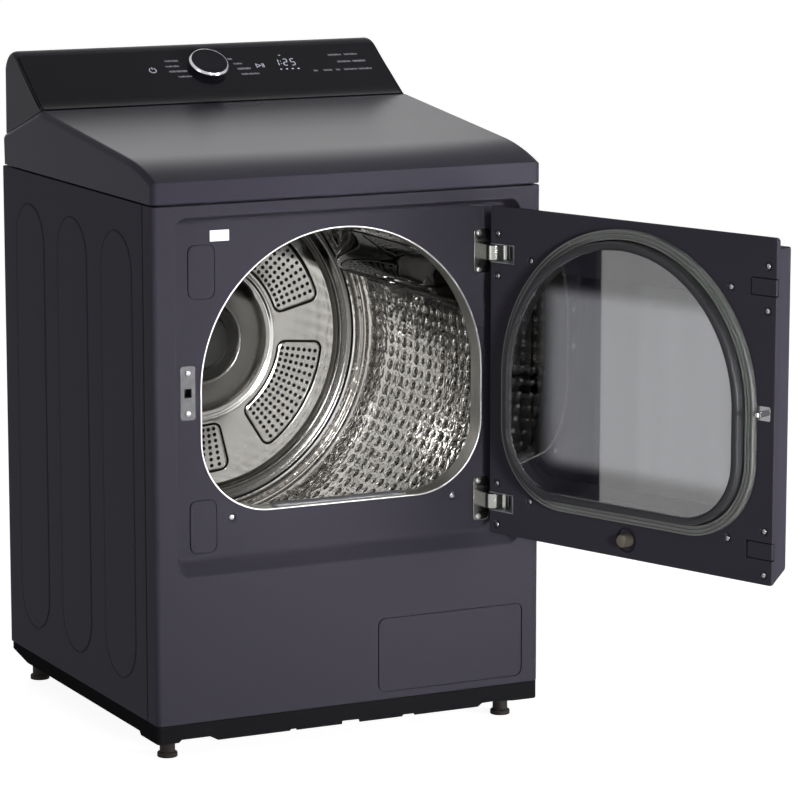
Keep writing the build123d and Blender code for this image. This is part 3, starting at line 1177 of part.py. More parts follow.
# Inner door panel: shallow tray with the window hole, pockets and a cup for the bumper
DOOR_Z = (DOOR_TOP + DOOR_BOTTOM) / 2
BUMPER_Z = DOOR_BOTTOM + 30.0
CUP_R = 20.0
CUP_D = 6.0
with BuildPart() as door_inner_panel:
    with BuildSketch(door_plane(DOOR_IN)):
        with Locations((0, DOOR_Z)):
            RectangleRounded(DOOR_W, DOOR_H, 6)
    extrude(amount=DOOR_TRAY)
    with BuildSketch(door_plane(DOOR_IN - SHEET)):
        with Locations((0, DOOR_Z)):
            RectangleRounded(DOOR_W - 2 * SHEET, DOOR_H - 2 * SHEET, 4.5)
    extrude(amount=DOOR_TRAY, mode=Mode.SUBTRACT)
    with BuildSketch(door_plane(DOOR_IN)):
        with Locations((0, BUMPER_Z)):
            Circle(CUP_R + SHEET)
    extrude(amount=CUP_D + SHEET)
    with BuildSketch(door_plane(DOOR_IN)):
        with Locations((0, BUMPER_Z)):
            Circle(CUP_R)
    extrude(amount=CUP_D, mode=Mode.SUBTRACT)
    with BuildSketch(door_plane(DOOR_IN)):
        add(opening_outline(FRAME_OUT + FIT))
        with Locations(*[(DOOR_W / 2, z) for z in HINGE_Z]):
            Rectangle(2 * (POCKET_W + LINER_T + FIT), POCKET_H + 2 * LINER_T + 2 * FIT)
        with Locations(*[(-DOOR_W / 2, z) for z in HINGE_Z]):
            Rectangle(2 * POCKET_W, POCKET_H)
        with Locations(*DOOR_SCREWS):
            Circle(SCREW_HOLE_R)
        with Locations((-LATCH_X, LATCH_Z)):
            Rectangle(14, 25)
    extrude(amount=DOOR_TRAY, mode=Mode.SUBTRACT)
door_inner_panel.part.label = "door_inner_panel"
export_step(door_inner_panel.part, "parts/door_inner_panel.step")

# Outer door panel: skin with a bevelled foot and a flange behind the tray
OUTER_W = DOOR_W - 2 * DOOR_SIDE_INSET
OUTER_TOP = DOOR_TOP - DOOR_TOP_INSET
TRAY_Y = DOOR_IN - DOOR_TRAY
WINDOW_Z = WINDOW_TOP - WINDOW_H / 2
with BuildPart() as door_outer_panel:
    with BuildSketch(door_section(-OUTER_W / 2)) as outer_profile:
        with BuildLine():
            Polyline((TRAY_Y, DOOR_BOTTOM + 1), (DOOR_OUT, DOOR_BOTTOM + DOOR_BEVEL), (DOOR_OUT, OUTER_TOP),
                     (TRAY_Y, OUTER_TOP), close=True)
        make_face()
        fillet(outer_profile.vertices().sort_by(Axis.X)[:2], 5)
    extrude(amount=OUTER_W)
    with BuildSketch(door_plane(TRAY_Y)):
        with Locations((0, DOOR_Z)):
            RectangleRounded(OUTER_W, DOOR_H - 2 * DOOR_SIDE_INSET, 6)
    extrude(amount=DOOR_SKIN)
    with BuildSketch(door_section(-OUTER_W / 2 + DOOR_SKIN)):
        with BuildLine():
            Polyline((TRAY_Y, DOOR_BOTTOM + 4), (DOOR_OUT + DOOR_SKIN, DOOR_BOTTOM + DOOR_BEVEL + 4),
                     (DOOR_OUT + DOOR_SKIN, OUTER_TOP - DOOR_SKIN), (TRAY_Y, OUTER_TOP - DOOR_SKIN),
                     close=True)
        make_face()
    extrude(amount=OUTER_W - 2 * DOOR_SKIN, mode=Mode.SUBTRACT)
    with BuildSketch(door_plane(DOOR_OUT + DOOR_SKIN)):
        with Locations((0, WINDOW_Z)):
            RectangleRounded(WINDOW_W, WINDOW_H, WINDOW_R)
    extrude(amount=2 * DOOR_SKIN, mode=Mode.SUBTRACT)
    with BuildSketch(door_plane(TRAY_Y)):
        with Locations(*[(DOOR_W / 2, z) for z in HINGE_Z]):
            Rectangle(2 * (POCKET_W + LINER_T + FIT), POCKET_H + 2 * LINER_T + 2 * FIT)
    extrude(amount=POCKET_D + LINER_T + FIT - DOOR_TRAY, mode=Mode.SUBTRACT)
door_outer_panel.part.label = "door_outer_panel"
export_step(door_outer_panel.part, "parts/door_outer_panel.step")

# Window frame: a hollow ring with a flange behind the inner panel
FRAME_IN = FRAME_OUT - FRAME_RIM
FRAME_L = FRAME_PROUD + SHEET + 2.0
with BuildPart() as window_frame:
    with BuildSketch(door_plane(DOOR_IN + FRAME_PROUD)):
        add(opening_ring(FRAME_OUT, FRAME_IN))
    extrude(amount=FRAME_L)
    with BuildSketch(door_plane(DOOR_IN + FRAME_PROUD - 3)):
        add(opening_ring(FRAME_OUT - FRAME_WALL, FRAME_IN + FRAME_WALL))
    extrude(amount=FRAME_L, mode=Mode.SUBTRACT)
    with BuildSketch(door_plane(DOOR_IN - SHEET)):
        add(opening_ring(FRAME_OUT + 7, FRAME_OUT - FRAME_WALL))
    extrude(amount=2)
window_frame.part.label = "window_frame"
export_step(window_frame.part, "parts/window_frame.step")

# Window panes: one in the mouth of the frame, one bonded to the inside of the outer skin
with BuildPart() as door_glass:
    with BuildSketch(door_plane(DOOR_IN + FRAME_PROUD - PANE_SET)):
        add(opening_outline(FRAME_IN))
    extrude(amount=GLASS_T)
    with BuildSketch(door_plane(DOOR_OUT + DOOR_SKIN + GLASS_T)):
        with Locations((0, WINDOW_Z)):
            RectangleRounded(WINDOW_W + 2 * WINDOW_LAP, WINDOW_H + 2 * WINDOW_LAP, WINDOW_R + WINDOW_LAP)
    extrude(amount=GLASS_T)
door_glass.part.label = "door_glass"
export_step(door_glass.part, "parts/door_glass.step")

# Door gasket: ribbed ring on the inner panel
with BuildPart() as door_gasket:
    with BuildSketch(door_plane(DOOR_IN)):
        add(opening_ring(GASKET_OUT, GASKET_OUT - GASKET_W))
    extrude(amount=-GASKET_H)
    with BuildSketch(door_plane(DOOR_IN + GASKET_H)):
        add(opening_ring(GASKET_OUT - 4.0, GASKET_OUT - 6.5))
        add(opening_ring(GASKET_OUT - 10.0, GASKET_OUT - 12.5))
    extrude(amount=4, mode=Mode.SUBTRACT)
door_gasket.part.label = "door_gasket"
export_step(door_gasket.part, "parts/door_gasket.step")

# Strike that enters the latch, blanking covers of the unused holes, rubber bumper and door screws
with BuildPart() as door_strike:
    with BuildSketch(door_plane(DOOR_IN)):
        with Locations((LATCH_X, LATCH_Z)):
            RectangleRounded(26, 23, 3)
    extrude(amount=-SHEET)
    with BuildSketch(door_plane(DOOR_IN + SHEET)):
        with Locations((LATCH_X, LATCH_Z)):
            RectangleRounded(7, 9, 1.5)
    extrude(amount=-19)
door_strike.part.label = "door_strike"
export_step(door_strike.part, "parts/door_strike.step")

with BuildPart() as door_blanking_covers:
    with BuildSketch(door_plane(DOOR_IN - 0.5)):
        with Locations(*[(-DOOR_W / 2 + POCKET_W / 2, z) for z in HINGE_Z]):
            Rectangle(POCKET_W - 2 * FIT, POCKET_H - 2 * FIT)
        with Locations((-LATCH_X, LATCH_Z)):
            Rectangle(14 - 2 * FIT, 25 - 2 * FIT)
    extrude(amount=5)
door_blanking_covers.part.label = "door_blanking_covers"
export_step(door_blanking_covers.part, "parts/door_blanking_covers.step")

with BuildPart() as door_bumper:
    with BuildSketch(door_plane(DOOR_IN - CUP_D)):
        with Locations((0, BUMPER_Z)):
            Circle(11)
    extrude(amount=-(CUP_D + RECESS_D - 16.0 - 1.0))
    fillet(door_bumper.edges().sort_by(lambda e: e.center().X)[0], 2)
door_bumper.part.label = "door_bumper"
export_step(door_bumper.part, "parts/door_bumper.step")

with BuildPart() as door_screws:
    with BuildSketch(door_plane(DOOR_IN)):
        with Locations(*DOOR_SCREWS):
            Circle(SCREW_HEAD_R)
    extrude(amount=-SCREW_HEAD_H)
    with BuildSketch(door_plane(DOOR_IN)):
        with Locations(*DOOR_SCREWS):
            Circle(SCREW_R)
    extrude(amount=SCREW_L)
door_screws.part.label = "door_screws"
export_step(door_screws.part, "parts/door_screws.step")

# Console housing: end caps, top, back and floor round the fascia
FLARE_TANGENT = (-math.cos(math.radians(FASCIA_ANGLE)), -math.sin(math.radians(FASCIA_ANGLE)))
CONSOLE_TOP = FASCIA_TOP[1] + 7.6
FOOT_UNDER_Z = SEAM_Z + FOOT_H - FASCIA_T + 0.4
SLOT_FOOT_Z = FOOT_UNDER_Z - FIT
with BuildPart() as console_housing:
    with BuildSketch(Plane.YZ.offset(-CONSOLE_W / 2)):
        with BuildLine():
            Line((BACK - FOOT_BACK, lid_z(FOOT_BACK)), (BACK - FOOT_BACK, SEAM_Z + FOOT_H))
            TangentArc(fascia_point(0, 0), (BACK - FOOT_BACK, SEAM_Z + FOOT_H), tangent=FLARE_TANGENT)
            Line(fascia_point(0, 0), FASCIA_TOP)
            TangentArc(FASCIA_TOP, (BACK - CONSOLE_TOP_BACK, CONSOLE_TOP),
                       tangent=(-FLARE_TANGENT[0], -FLARE_TANGENT[1]))
            TangentArc((BACK - CONSOLE_REAR_BACK, CONSOLE_TOP - CONSOLE_ROUND),
                       (BACK - CONSOLE_TOP_BACK, CONSOLE_TOP), tangent=(0, 1))
            Polyline((BACK - CONSOLE_REAR_BACK, CONSOLE_TOP - CONSOLE_ROUND),
                     (BACK - CONSOLE_REAR_BACK, lid_z(CONSOLE_REAR_BACK)),
                     (BACK - FOOT_BACK, lid_z(FOOT_BACK)))
        make_face()
    extrude(amount=CONSOLE_W)
    with BuildSketch(Plane.YZ.offset(-FASCIA_W / 2 - FIT)):
        with BuildLine():
            Polyline((BACK - FOOT_BACK + 1, SLOT_FOOT_Z), (BACK - FOOT_BACK - 1, SLOT_FOOT_Z),
                     (BACK - FOOT_BACK - 1, SEAM_Z + FOOT_H + 4), fascia_point(0, 6),
                     fascia_point(FASCIA_L, 6), fascia_point(FASCIA_L, -FASCIA_T - FIT),
                     fascia_point(0, -FASCIA_T - FIT))
            TangentArc(fascia_point(0, -FASCIA_T - FIT), (BACK - FOOT_BACK + 1, SLOT_FOOT_Z),
                       tangent=FLARE_TANGENT)
        make_face()
    extrude(amount=FASCIA_W + 2 * FIT, mode=Mode.SUBTRACT)
    with BuildSketch(Plane.YZ.offset(-FASCIA_W / 2 + 8)):
        with BuildLine():
            Polyline(fascia_point(0, 0), fascia_point(FASCIA_L, 0),
                     (BACK - CONSOLE_TOP_BACK - 2, CONSOLE_TOP - 4), (BACK - 14, CONSOLE_TOP - 13),
                     (BACK - 4, CONSOLE_TOP - CONSOLE_ROUND), (BACK - 4, lid_z(4) + CONSOLE_WALL),
                     (BACK - FLARE_BACK, lid_z(FLARE_BACK) + CONSOLE_WALL), close=True)
        make_face()
    extrude(amount=FASCIA_W - 16, mode=Mode.SUBTRACT)
console_housing.part.label = "console_housing"
export_step(console_housing.part, "parts/console_housing.step")

# Fascia: glossy sheet with a flared foot and a hole for the selector's shaft
with BuildPart() as console_fascia:
    with BuildSketch(Plane.YZ.offset(-FASCIA_W / 2)):
        with BuildLine():
            TangentArc(fascia_point(0, 0), (BACK - FOOT_BACK, SEAM_Z + FOOT_H), tangent=FLARE_TANGENT)
            Line(fascia_point(0, 0), fascia_point(FASCIA_L - FIT, 0))
            Line(fascia_point(FASCIA_L - FIT, 0), fascia_point(FASCIA_L - FIT, -FASCIA_T))
            Line(fascia_point(FASCIA_L - FIT, -FASCIA_T), fascia_point(0, -FASCIA_T))
            TangentArc(fascia_point(0, -FASCIA_T), (BACK - FOOT_BACK + 1, FOOT_UNDER_Z),
                       tangent=FLARE_TANGENT)
            Line((BACK - FOOT_BACK + 1, FOOT_UNDER_Z), (BACK - FOOT_BACK, SEAM_Z + FOOT_H))
        make_face()
    extrude(amount=FASCIA_W)
    with BuildSketch(fascia_plane(KNOB_UP, 0)):
        Circle(ENCODER_R + 1)
    extrude(amount=-FASCIA_T - 1, mode=Mode.SUBTRACT)
console_fascia.part.label = "console_fascia"
export_step(console_fascia.part, "parts/console_fascia.step")

# Control board on posts behind the fascia
with BuildPart() as control_board:
    with BuildSketch(fascia_plane(KNOB_UP, -BOARD_DEPTH)):
        Rectangle(BOARD_W, BOARD_H)
    extrude(amount=-BOARD_T)
    with BuildSketch(fascia_plane(KNOB_UP, -BOARD_DEPTH)):
        with GridLocations(BOARD_W - 16, BOARD_H - 14, 2, 2):
            Circle(3)
    extrude(amount=BOARD_DEPTH - FASCIA_T)
control_board.part.label = "control_board"
export_step(control_board.part, "parts/control_board.step")

# Rotary encoder on the board; its shaft carries the knob
with BuildPart() as selector_encoder:
    with BuildSketch(fascia_plane(KNOB_UP, -BOARD_DEPTH)):
        Rectangle(20, 20)
    extrude(amount=9)
    with BuildSketch(fascia_plane(KNOB_UP, -BOARD_DEPTH + 9)):
        Circle(ENCODER_R)
    extrude(amount=BOARD_DEPTH - 9 + KNOB_LIFT + 8)
selector_encoder.part.label = "selector_encoder"
export_step(selector_encoder.part, "parts/selector_encoder.step")

# Selector knob, wider at its face
with BuildPart() as selector_knob:
    with BuildSketch(fascia_plane(KNOB_UP, KNOB_LIFT)):
        Circle(KNOB_BASE_R)
    with BuildSketch(fascia_plane(KNOB_UP, KNOB_H)):
        Circle(KNOB_R)
    loft()
    with BuildSketch(fascia_plane(KNOB_UP, KNOB_LIFT)):
        Circle(ENCODER_R + PIN_FIT)
    extrude(amount=8.6, mode=Mode.SUBTRACT)
selector_knob.part.label = "selector_knob"
export_step(selector_knob.part, "parts/selector_knob.step")
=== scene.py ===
import json
import logging
import math
from dataclasses import dataclass, field, replace
from enum import Enum
from typing import Any, Callable, Optional, Sequence, Union

import bmesh
import bpy
from mathutils import Matrix, Vector


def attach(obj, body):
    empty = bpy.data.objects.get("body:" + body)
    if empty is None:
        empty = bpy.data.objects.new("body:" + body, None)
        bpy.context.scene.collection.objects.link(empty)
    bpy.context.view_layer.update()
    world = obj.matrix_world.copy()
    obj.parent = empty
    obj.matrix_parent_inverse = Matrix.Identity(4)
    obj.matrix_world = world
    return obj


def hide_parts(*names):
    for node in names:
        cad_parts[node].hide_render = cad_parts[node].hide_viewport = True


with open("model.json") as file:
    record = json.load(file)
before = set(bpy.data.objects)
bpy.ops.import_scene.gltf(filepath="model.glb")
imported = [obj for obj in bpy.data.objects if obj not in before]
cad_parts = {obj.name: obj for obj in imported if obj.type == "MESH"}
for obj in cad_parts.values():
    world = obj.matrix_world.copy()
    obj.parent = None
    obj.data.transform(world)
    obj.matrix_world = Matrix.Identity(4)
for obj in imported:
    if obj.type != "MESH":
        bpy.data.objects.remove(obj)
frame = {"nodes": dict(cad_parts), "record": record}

log = logging.getLogger("dryer")
MM = 0.001
Key = Union[int, str]
Point = tuple[float, float]
Triple = tuple[float, float, float]
Bar = tuple[float, float, float, float]
Colour = tuple[int, int, int]
Number = Union[float, "Wire"]
Ring = list[Vector]
Path = tuple[Point, ...]


class Wire:
    """An output of a node; sums written with it add Math nodes."""

    def __init__(self, bench: "Bench", node: bpy.types.Node, output: Key = 0) -> None:
        """Take hold of one output of a node."""
        self.bench, self.node = bench, node
        self.socket = node.outputs[output] if len(node.outputs) else None

    def out(self, output: Key) -> "Wire":
        """Another output of the same node."""
        return Wire(self.bench, self.node, output)

    def calc(self, operation: str, *values: Number) -> "Wire":
        """A Math node on the given values."""
        return self.bench.node("ShaderNodeMath", dict(enumerate(values)), operation=operation)

    def __add__(self, other: Number) -> "Wire":
        """Sum."""
        return self.calc("ADD", self, other)

    def __radd__(self, other: Number) -> "Wire":
        """Sum with a number on the left."""
        return self.calc("ADD", other, self)

    def __sub__(self, other: Number) -> "Wire":
        """Difference."""
        return self.calc("SUBTRACT", self, other)

    def __rsub__(self, other: Number) -> "Wire":
        """Difference with a number on the left."""
        return self.calc("SUBTRACT", other, self)

    def __mul__(self, other: Number) -> "Wire":
        """Product."""
        return self.calc("MULTIPLY", self, other)

    def __rmul__(self, other: Number) -> "Wire":
        """Product with a number on the left."""
        return self.calc("MULTIPLY", other, self)

    def __truediv__(self, other: Number) -> "Wire":
        """Quotient."""
        return self.calc("DIVIDE", self, other)

    def __rtruediv__(self, other: Number) -> "Wire":
        """Quotient with a number on the left."""
        return self.calc("DIVIDE", other, self)

    def __mod__(self, other: Number) -> "Wire":
        """Remainder, never negative."""
        return self.calc("FLOORED_MODULO", self, other)

    def __pow__(self, other: Number) -> "Wire":
        """Power."""
        return self.calc("POWER", self, other)


class Bench:
    """A node tree being wired, for a material, the world or a jig."""

    def __init__(self, tree: bpy.types.NodeTree) -> None:
        """Start on a tree."""
        self.tree = tree

    def node(self, kind: str, inputs: Optional[dict[Key, Any]] = None, output: Key = 0,
             **settings: Any) -> Wire:
        """Add any node.

        Args:
            kind: the node's type.
            inputs: values or wires for its sockets, by name or number.
            output: the output to return.
            settings: its properties, set before its sockets.

        Returns:
            The wire of that output.
        """
        made = self.tree.nodes.new(kind)
        for key, value in settings.items():
            setattr(made, key, value)
        for key, value in (inputs or {}).items():
            if isinstance(value, Wire):
                self.tree.links.new(value.socket, made.inputs[key])
            else:
                made.inputs[key].default_value = value
        return Wire(self, made, output)

    def place(self) -> Wire:
        """Object coordinates, which are the row frame in metres."""
        return self.node("ShaderNodeTexCoord", output="Object")

    def axes(self, vector: Wire) -> tuple[Wire, Wire, Wire]:
        """The three parts of a vector."""
        split = self.node("ShaderNodeSeparateXYZ", {0: vector})
        return split, split.out(1), split.out(2)

    def noise(self, vector: Wire, scale: float, detail: float = 2.0) -> Wire:
        """Soft noise from 0 to 1 with a scale per metre."""
        return self.node("ShaderNodeTexNoise", {"Vector": vector, "Scale": scale, "Detail": detail})

    def stretched(self, vector: Wire, scale: Triple) -> Wire:
        """A vector scaled along each axis."""
        return self.node("ShaderNodeVectorMath", {0: vector, 1: scale}, operation="MULTIPLY")

    def mix(self, factor: Number, first: Any, second: Any) -> Wire:
        """A colour between two colours."""
        return self.node("ShaderNodeMix", {0: factor, 6: first, 7: second}, 2, data_type="RGBA")

    def bump(self, height: Wire, depth: float, strength: float = 1.0) -> Wire:
        """A normal bent by a height, with its depth in metres."""
        return self.node("ShaderNodeBump", {"Strength": strength, "Distance": depth, "Height": height})

    def seen(self) -> Wire:
        """Tell apart what is looked at from what only lights.

        Returns:
            1 for rays from the camera, from mirrors and through glass, else 0.
        """
        path = self.node("ShaderNodeLightPath", output="Is Camera Ray")
        direct = path.calc("MAXIMUM", path, path.out("Is Glossy Ray"))
        return path.calc("MAXIMUM", direct, path.out("Is Transmission Ray"))


def emptied(holder: Union[bpy.types.Material, bpy.types.World]) -> Bench:
    """Give a material or a world an empty tree.

    Args:
        holder: the material or world.

    Returns:
        The bench to wire it on.
    """
    holder.use_nodes = True
    holder.node_tree.nodes.clear()
    return Bench(holder.node_tree)


def linear(colour: Colour, gain: float = 1.0) -> tuple[float, ...]:
    """Turn an 8-bit screen colour into the linear colour of a socket.

    Args:
        colour: red, green and blue from 0 to 255.
        gain: factor on the linear values.

    Returns:
        Linear red, green, blue and alpha.
    """
    levels = [part / 255.0 for part in colour]
    parts = [v / 12.92 if v <= 0.04045 else ((v + 0.055) / 1.055) ** 2.4 for v in levels]
    return tuple(min(part * gain, 1.0) for part in parts) + (1.0,)


class Grain(Enum):
    """The way that a steel sheet was brushed or turned."""

    ACROSS = "across"
    UPRIGHT = "upright"
    TURNED = "turned"


@dataclass(frozen=True)
class Finish:
    """A surface finish: its name, its slot in the record, its colour and its gloss."""

    name: str
    slot: str
    colour: Colour
    roughness: float

    def sockets(self, bench: Bench, place: Wire) -> dict[Key, Any]:
        """The shader's sockets, wired on a bench from object coordinates."""
        raise NotImplementedError

    def tint(self, bench: Bench, factor: Wire, low: float, high: float) -> Wire:
        """The finish's colour between a darker and a lighter tone."""
        return bench.mix(factor, linear(self.colour, low), linear(self.colour, high))

    def material(self) -> bpy.types.Material:
        """Make the finish's material once.

        Returns:
            The material, the same at each call.
        """
        made = bpy.data.materials.get(self.name)
        if made is None:
            made = bpy.data.materials.new(self.name)
            bench = emptied(made)
            shader = bench.node("ShaderNodeBsdfPrincipled", self.sockets(bench, bench.place()))
            bench.node("ShaderNodeOutputMaterial", {"Surface": shader})
        return made


@dataclass(frozen=True)
class Enamel(Finish):
    """Baked paint with fine metal flake and a little orange peel."""

    flake: float = 0.5
    specular: float = 0.005

    def sockets(self, bench: Bench, place: Wire) -> dict[Key, Any]:
        """Wire flake, slow unevenness of the coat and orange peel.

        Args:
            bench: the material's tree.
            place: object coordinates.

        Returns:
            Values and wires for the shader's sockets.
        """
        cloud = bench.noise(place, 2.2, 3.0)
        flakes = bench.noise(place, 1600.0, 1.0) ** 5.0
        return {"Base Color": self.tint(bench, cloud * 0.3 + flakes * self.flake, 0.93, 1.3),
                "Specular IOR Level": self.specular, "Roughness": self.roughness + (cloud - 0.5) * 0.08,
                "Normal": bench.bump(bench.noise(place, 190.0, 2.0), 0.00006)}


@dataclass(frozen=True)
class Steel(Finish):
    """Bare steel with brush lines or turning marks."""

    grain: Grain = Grain.ACROSS
    marks: float = 0.2
    centre: Point = (0.0, 0.575)
    relief: float = 0.00002
    ripple: float = 0.0
    waves: float = 34.0

    def lines(self, bench: Bench, place: Wire) -> Wire:
        """Wire the brush lines.

        Args:
            bench: the material's tree.
            place: object coordinates.

        Returns:
            Noise drawn out along the grain.
        """
        if self.grain is Grain.TURNED:
            x, _, z = bench.axes(place)
            dx, dz = x - self.centre[0], z - self.centre[1]
            radius = (dx * dx + dz * dz) ** 0.5
            return bench.node("ShaderNodeTexNoise", {"W": radius * 900.0, "Scale": 1.0, "Detail": 3.0},
                              noise_dimensions="1D")
        along = (12.0, 700.0, 700.0) if self.grain is Grain.ACROSS else (700.0, 700.0, 12.0)
        return bench.noise(bench.stretched(place, along), 1.0, 3.0)

    def sockets(self, bench: Bench, place: Wire) -> dict[Key, Any]:
        """Wire lines along the grain that vary colour, gloss and normal, under faint smears and ripples.

        Args:
            bench: the material's tree.
            place: object coordinates.

        Returns:
            Values and wires for the shader's sockets.
        """
        lines, smear = self.lines(bench, place), bench.noise(place, 14.0, 3.0)
        height = lines * self.relief + bench.noise(place, self.waves, 1.0) * self.ripple
        return {"Base Color": self.tint(bench, lines * 0.6 + smear * 0.4, 0.84, 1.12), "Metallic": 1.0,
                "Roughness": self.roughness + (lines - 0.5) * self.marks
                + (smear - 0.5) * 0.2 * self.roughness, "Normal": bench.bump(height, 1.0)}


@dataclass(frozen=True)
class Zinc(Finish):
    """Galvanised sheet with its spangle."""

    def sockets(self, bench: Bench, place: Wire) -> dict[Key, Any]:
        """Wire crystal cells that differ in tone and gloss.

        Args:
            bench: the material's tree.
            place: object coordinates.

        Returns:
            Values and wires for the shader's sockets.
        """
        bent = bench.node("ShaderNodeMix", {0: 0.02, 4: place, 5: bench.noise(place, 40.0).out(1)}, 1,
                          data_type="VECTOR")
        cells = bench.node("ShaderNodeTexVoronoi", {"Vector": bent, "Scale": 130.0}, "Color")
        tone, gloss, _ = bench.axes(cells)
        return {"Base Color": self.tint(bench, tone, 0.88, 1.1), "Metallic": 0.85,
                "Roughness": self.roughness + (gloss - 0.5) * 0.2}


@dataclass(frozen=True)
class Moulding(Finish):
    """Moulded plastic with a fine eroded grain."""

    grain: float = 850.0
    depth: float = 0.00004
    specular: float = 0.25

    def sockets(self, bench: Bench, place: Wire) -> dict[Key, Any]:
        """Wire grain in the normal, slow flow marks in the tone and gloss.

        Args:
            bench: the material's tree.
            place: object coordinates.

        Returns:
            Values and wires for the shader's sockets.
        """
        flow, pits = bench.noise(place, 9.0, 2.0), bench.noise(place, self.grain, 2.0)
        return {"Base Color": self.tint(bench, flow * 0.6 + pits * 0.4, 0.85, 1.15),
                "Roughness": self.roughness + (flow - 0.5) * 0.08 + (pits - 0.5) * 0.06,
                "Specular IOR Level": self.specular, "Normal": bench.bump(pits, self.depth)}


@dataclass(frozen=True)
class Rubber(Finish):
    """Matt rubber with bloom."""

    def sockets(self, bench: Bench, place: Wire) -> dict[Key, Any]:
        """Wire pale bloom in patches over a pitted skin.

        Args:
            bench: the material's tree.
            place: object coordinates.

        Returns:
            Values and wires for the shader's sockets.
        """
        bloom, pits = bench.noise(place, 35.0, 4.0), bench.noise(place, 1200.0, 1.0)
        return {"Base Color": self.tint(bench, bloom * 0.7 + pits * 0.3, 0.75, 1.3),
                "Roughness": self.roughness + (bloom - 0.5) * 0.1, "Specular IOR Level": 0.2,
                "Normal": bench.bump(pits, 0.00005)}


@dataclass(frozen=True)
class Felt(Finish):
    """Pressed wool felt."""

    def sockets(self, bench: Bench, place: Wire) -> dict[Key, Any]:
        """Wire two crossing fibre directions with worn, paler patches.

        Args:
            bench: the material's tree.
            place: object coordinates.

        Returns:
            Values and wires for the shader's sockets.
        """
        fibre = bench.noise(bench.stretched(place, (900.0, 200.0, 300.0)), 1.0, 4.0)
        cross = bench.noise(bench.stretched(place, (250.0, 700.0, 900.0)), 1.0, 4.0)
        web = fibre * 0.5 + cross * 0.5
        return {"Base Color": self.tint(bench, web * 0.7 + bench.noise(place, 12.0, 3.0) * 0.3, 0.6, 1.4),
                "Roughness": self.roughness, "Specular IOR Level": 0.1, "Sheen Weight": 0.1,
                "Normal": bench.bump(web, 0.0004, 0.7)}


@dataclass(frozen=True)
class PrintedBorder:
    """Where the dark print on the door's outer pane ends, in metres on the open door."""

    hinge: Point = (0.277, -0.345)
    swing: float = 110.0
    height: float = 0.595
    half: Point = (0.219, 0.155)
    fade: Point = (0.055, 0.03)

    def clear(self, bench: Bench, place: Wire) -> Wire:
        """Wire how clear the pane is.

        Args:
            bench: the material's tree.
            place: object coordinates.

        Returns:
            A factor from 0 under the print to 1 in the middle.
        """
        x, y, z = bench.axes(place)
        turn = math.radians(self.swing)
        along = (x - self.hinge[0]) * math.cos(turn) + (y - self.hinge[1]) * math.sin(turn) + self.hinge[0]
        factors = [bench.node("ShaderNodeMapRange", {
            "Value": half - value.calc("ABSOLUTE", value), "From Min": 0.0, "From Max": fade},
            interpolation_type="SMOOTHSTEP")
            for value, half, fade in zip((along, z - self.height), self.half, self.fade)]
        return factors[0] * factors[1]


@dataclass(frozen=True)
class Pane(Finish):
    """Window glass, clear or with a dark print that fades in from its edges."""

    index: float = 1.45
    border: Optional[PrintedBorder] = None

    def sockets(self, bench: Bench, place: Wire) -> dict[Key, Any]:
        """Wire a tint that is a little uneven and faint wipe marks in the gloss.

        Args:
            bench: the material's tree.
            place: object coordinates.

        Returns:
            Values and wires for the shader's sockets.
        """
        wipe = bench.noise(bench.stretched(place, (30.0, 30.0, 4.0)), 1.0, 3.0)
        tint = self.tint(bench, wipe, 0.94, 1.06)
        if self.border is not None:
            tint = bench.mix(self.border.clear(bench, place), (0.004, 0.004, 0.004, 1.0), tint)
        return {"Base Color": tint, "Roughness": self.roughness + wipe * 0.02, "IOR": self.index,
                "Transmission Weight": 1.0}


@dataclass(frozen=True)
class Print(Finish):
    """Screen-printed or lit marks."""

    glow: float = 0.0

    def sockets(self, bench: Bench, place: Wire) -> dict[Key, Any]:
        """Wire ink with a fine screen grain; lit marks also shine.

        Args:
            bench: the material's tree.
            place: object coordinates.

        Returns:
            Values and wires for the shader's sockets.
        """
        ink = bench.noise(place, 2500.0, 1.0)
        tint = self.tint(bench, ink, 0.9, 1.1)
        return {"Base Color": tint, "Roughness": self.roughness + ink * 0.1, "Emission Color": tint,
                "Emission Strength": self.glow}


PAINT = Enamel("charcoal_enamel", "charcoal_paint", (58, 56, 64), 0.4)
LID_PAINT = Enamel("charcoal_enamel_gloss", "charcoal_paint", (55, 53, 63), 0.28, specular=0.018)
CONSOLE = Moulding("console_plastic", "console_charcoal", (40, 39, 45), 0.42, depth=0.00003, specular=0.04)
FASCIA = Moulding("fascia_gloss", "fascia_black", (22, 21, 27), 0.16, 300.0, 0.000004, 0.055)
KNOB = Steel("knob_chrome", "knob_silver", (196, 195, 200), 0.2, Grain.ACROSS, 0.08)
KNOB_FACE = Moulding("knob_face_black", "knob_silver", (26, 25, 31), 0.3, 500.0, 0.00001, 0.05)
BASE = Moulding("base_plastic", "base_black", (28, 28, 30), 0.55, specular=0.0)
TRIM = Steel("trim_satin_steel", "trim_steel", (188, 187, 184), 0.34, Grain.ACROSS, 0.12)
DRUM = Steel("drum_bright_steel", "drum_steel", (218, 216, 213), 0.03, Grain.UPRIGHT, 0.02, relief=0.000001,
             ripple=0.0008, waves=80.0)
# The lifters' dark tone is a painted dark reflection on the drum's steel.
LIFTER = Steel("lifter_steel_painted_dark_reflection", "drum_steel", (58, 58, 57), 0.03, Grain.UPRIGHT, 0.02, relief=0.000001,
               ripple=0.0006, waves=12.0)
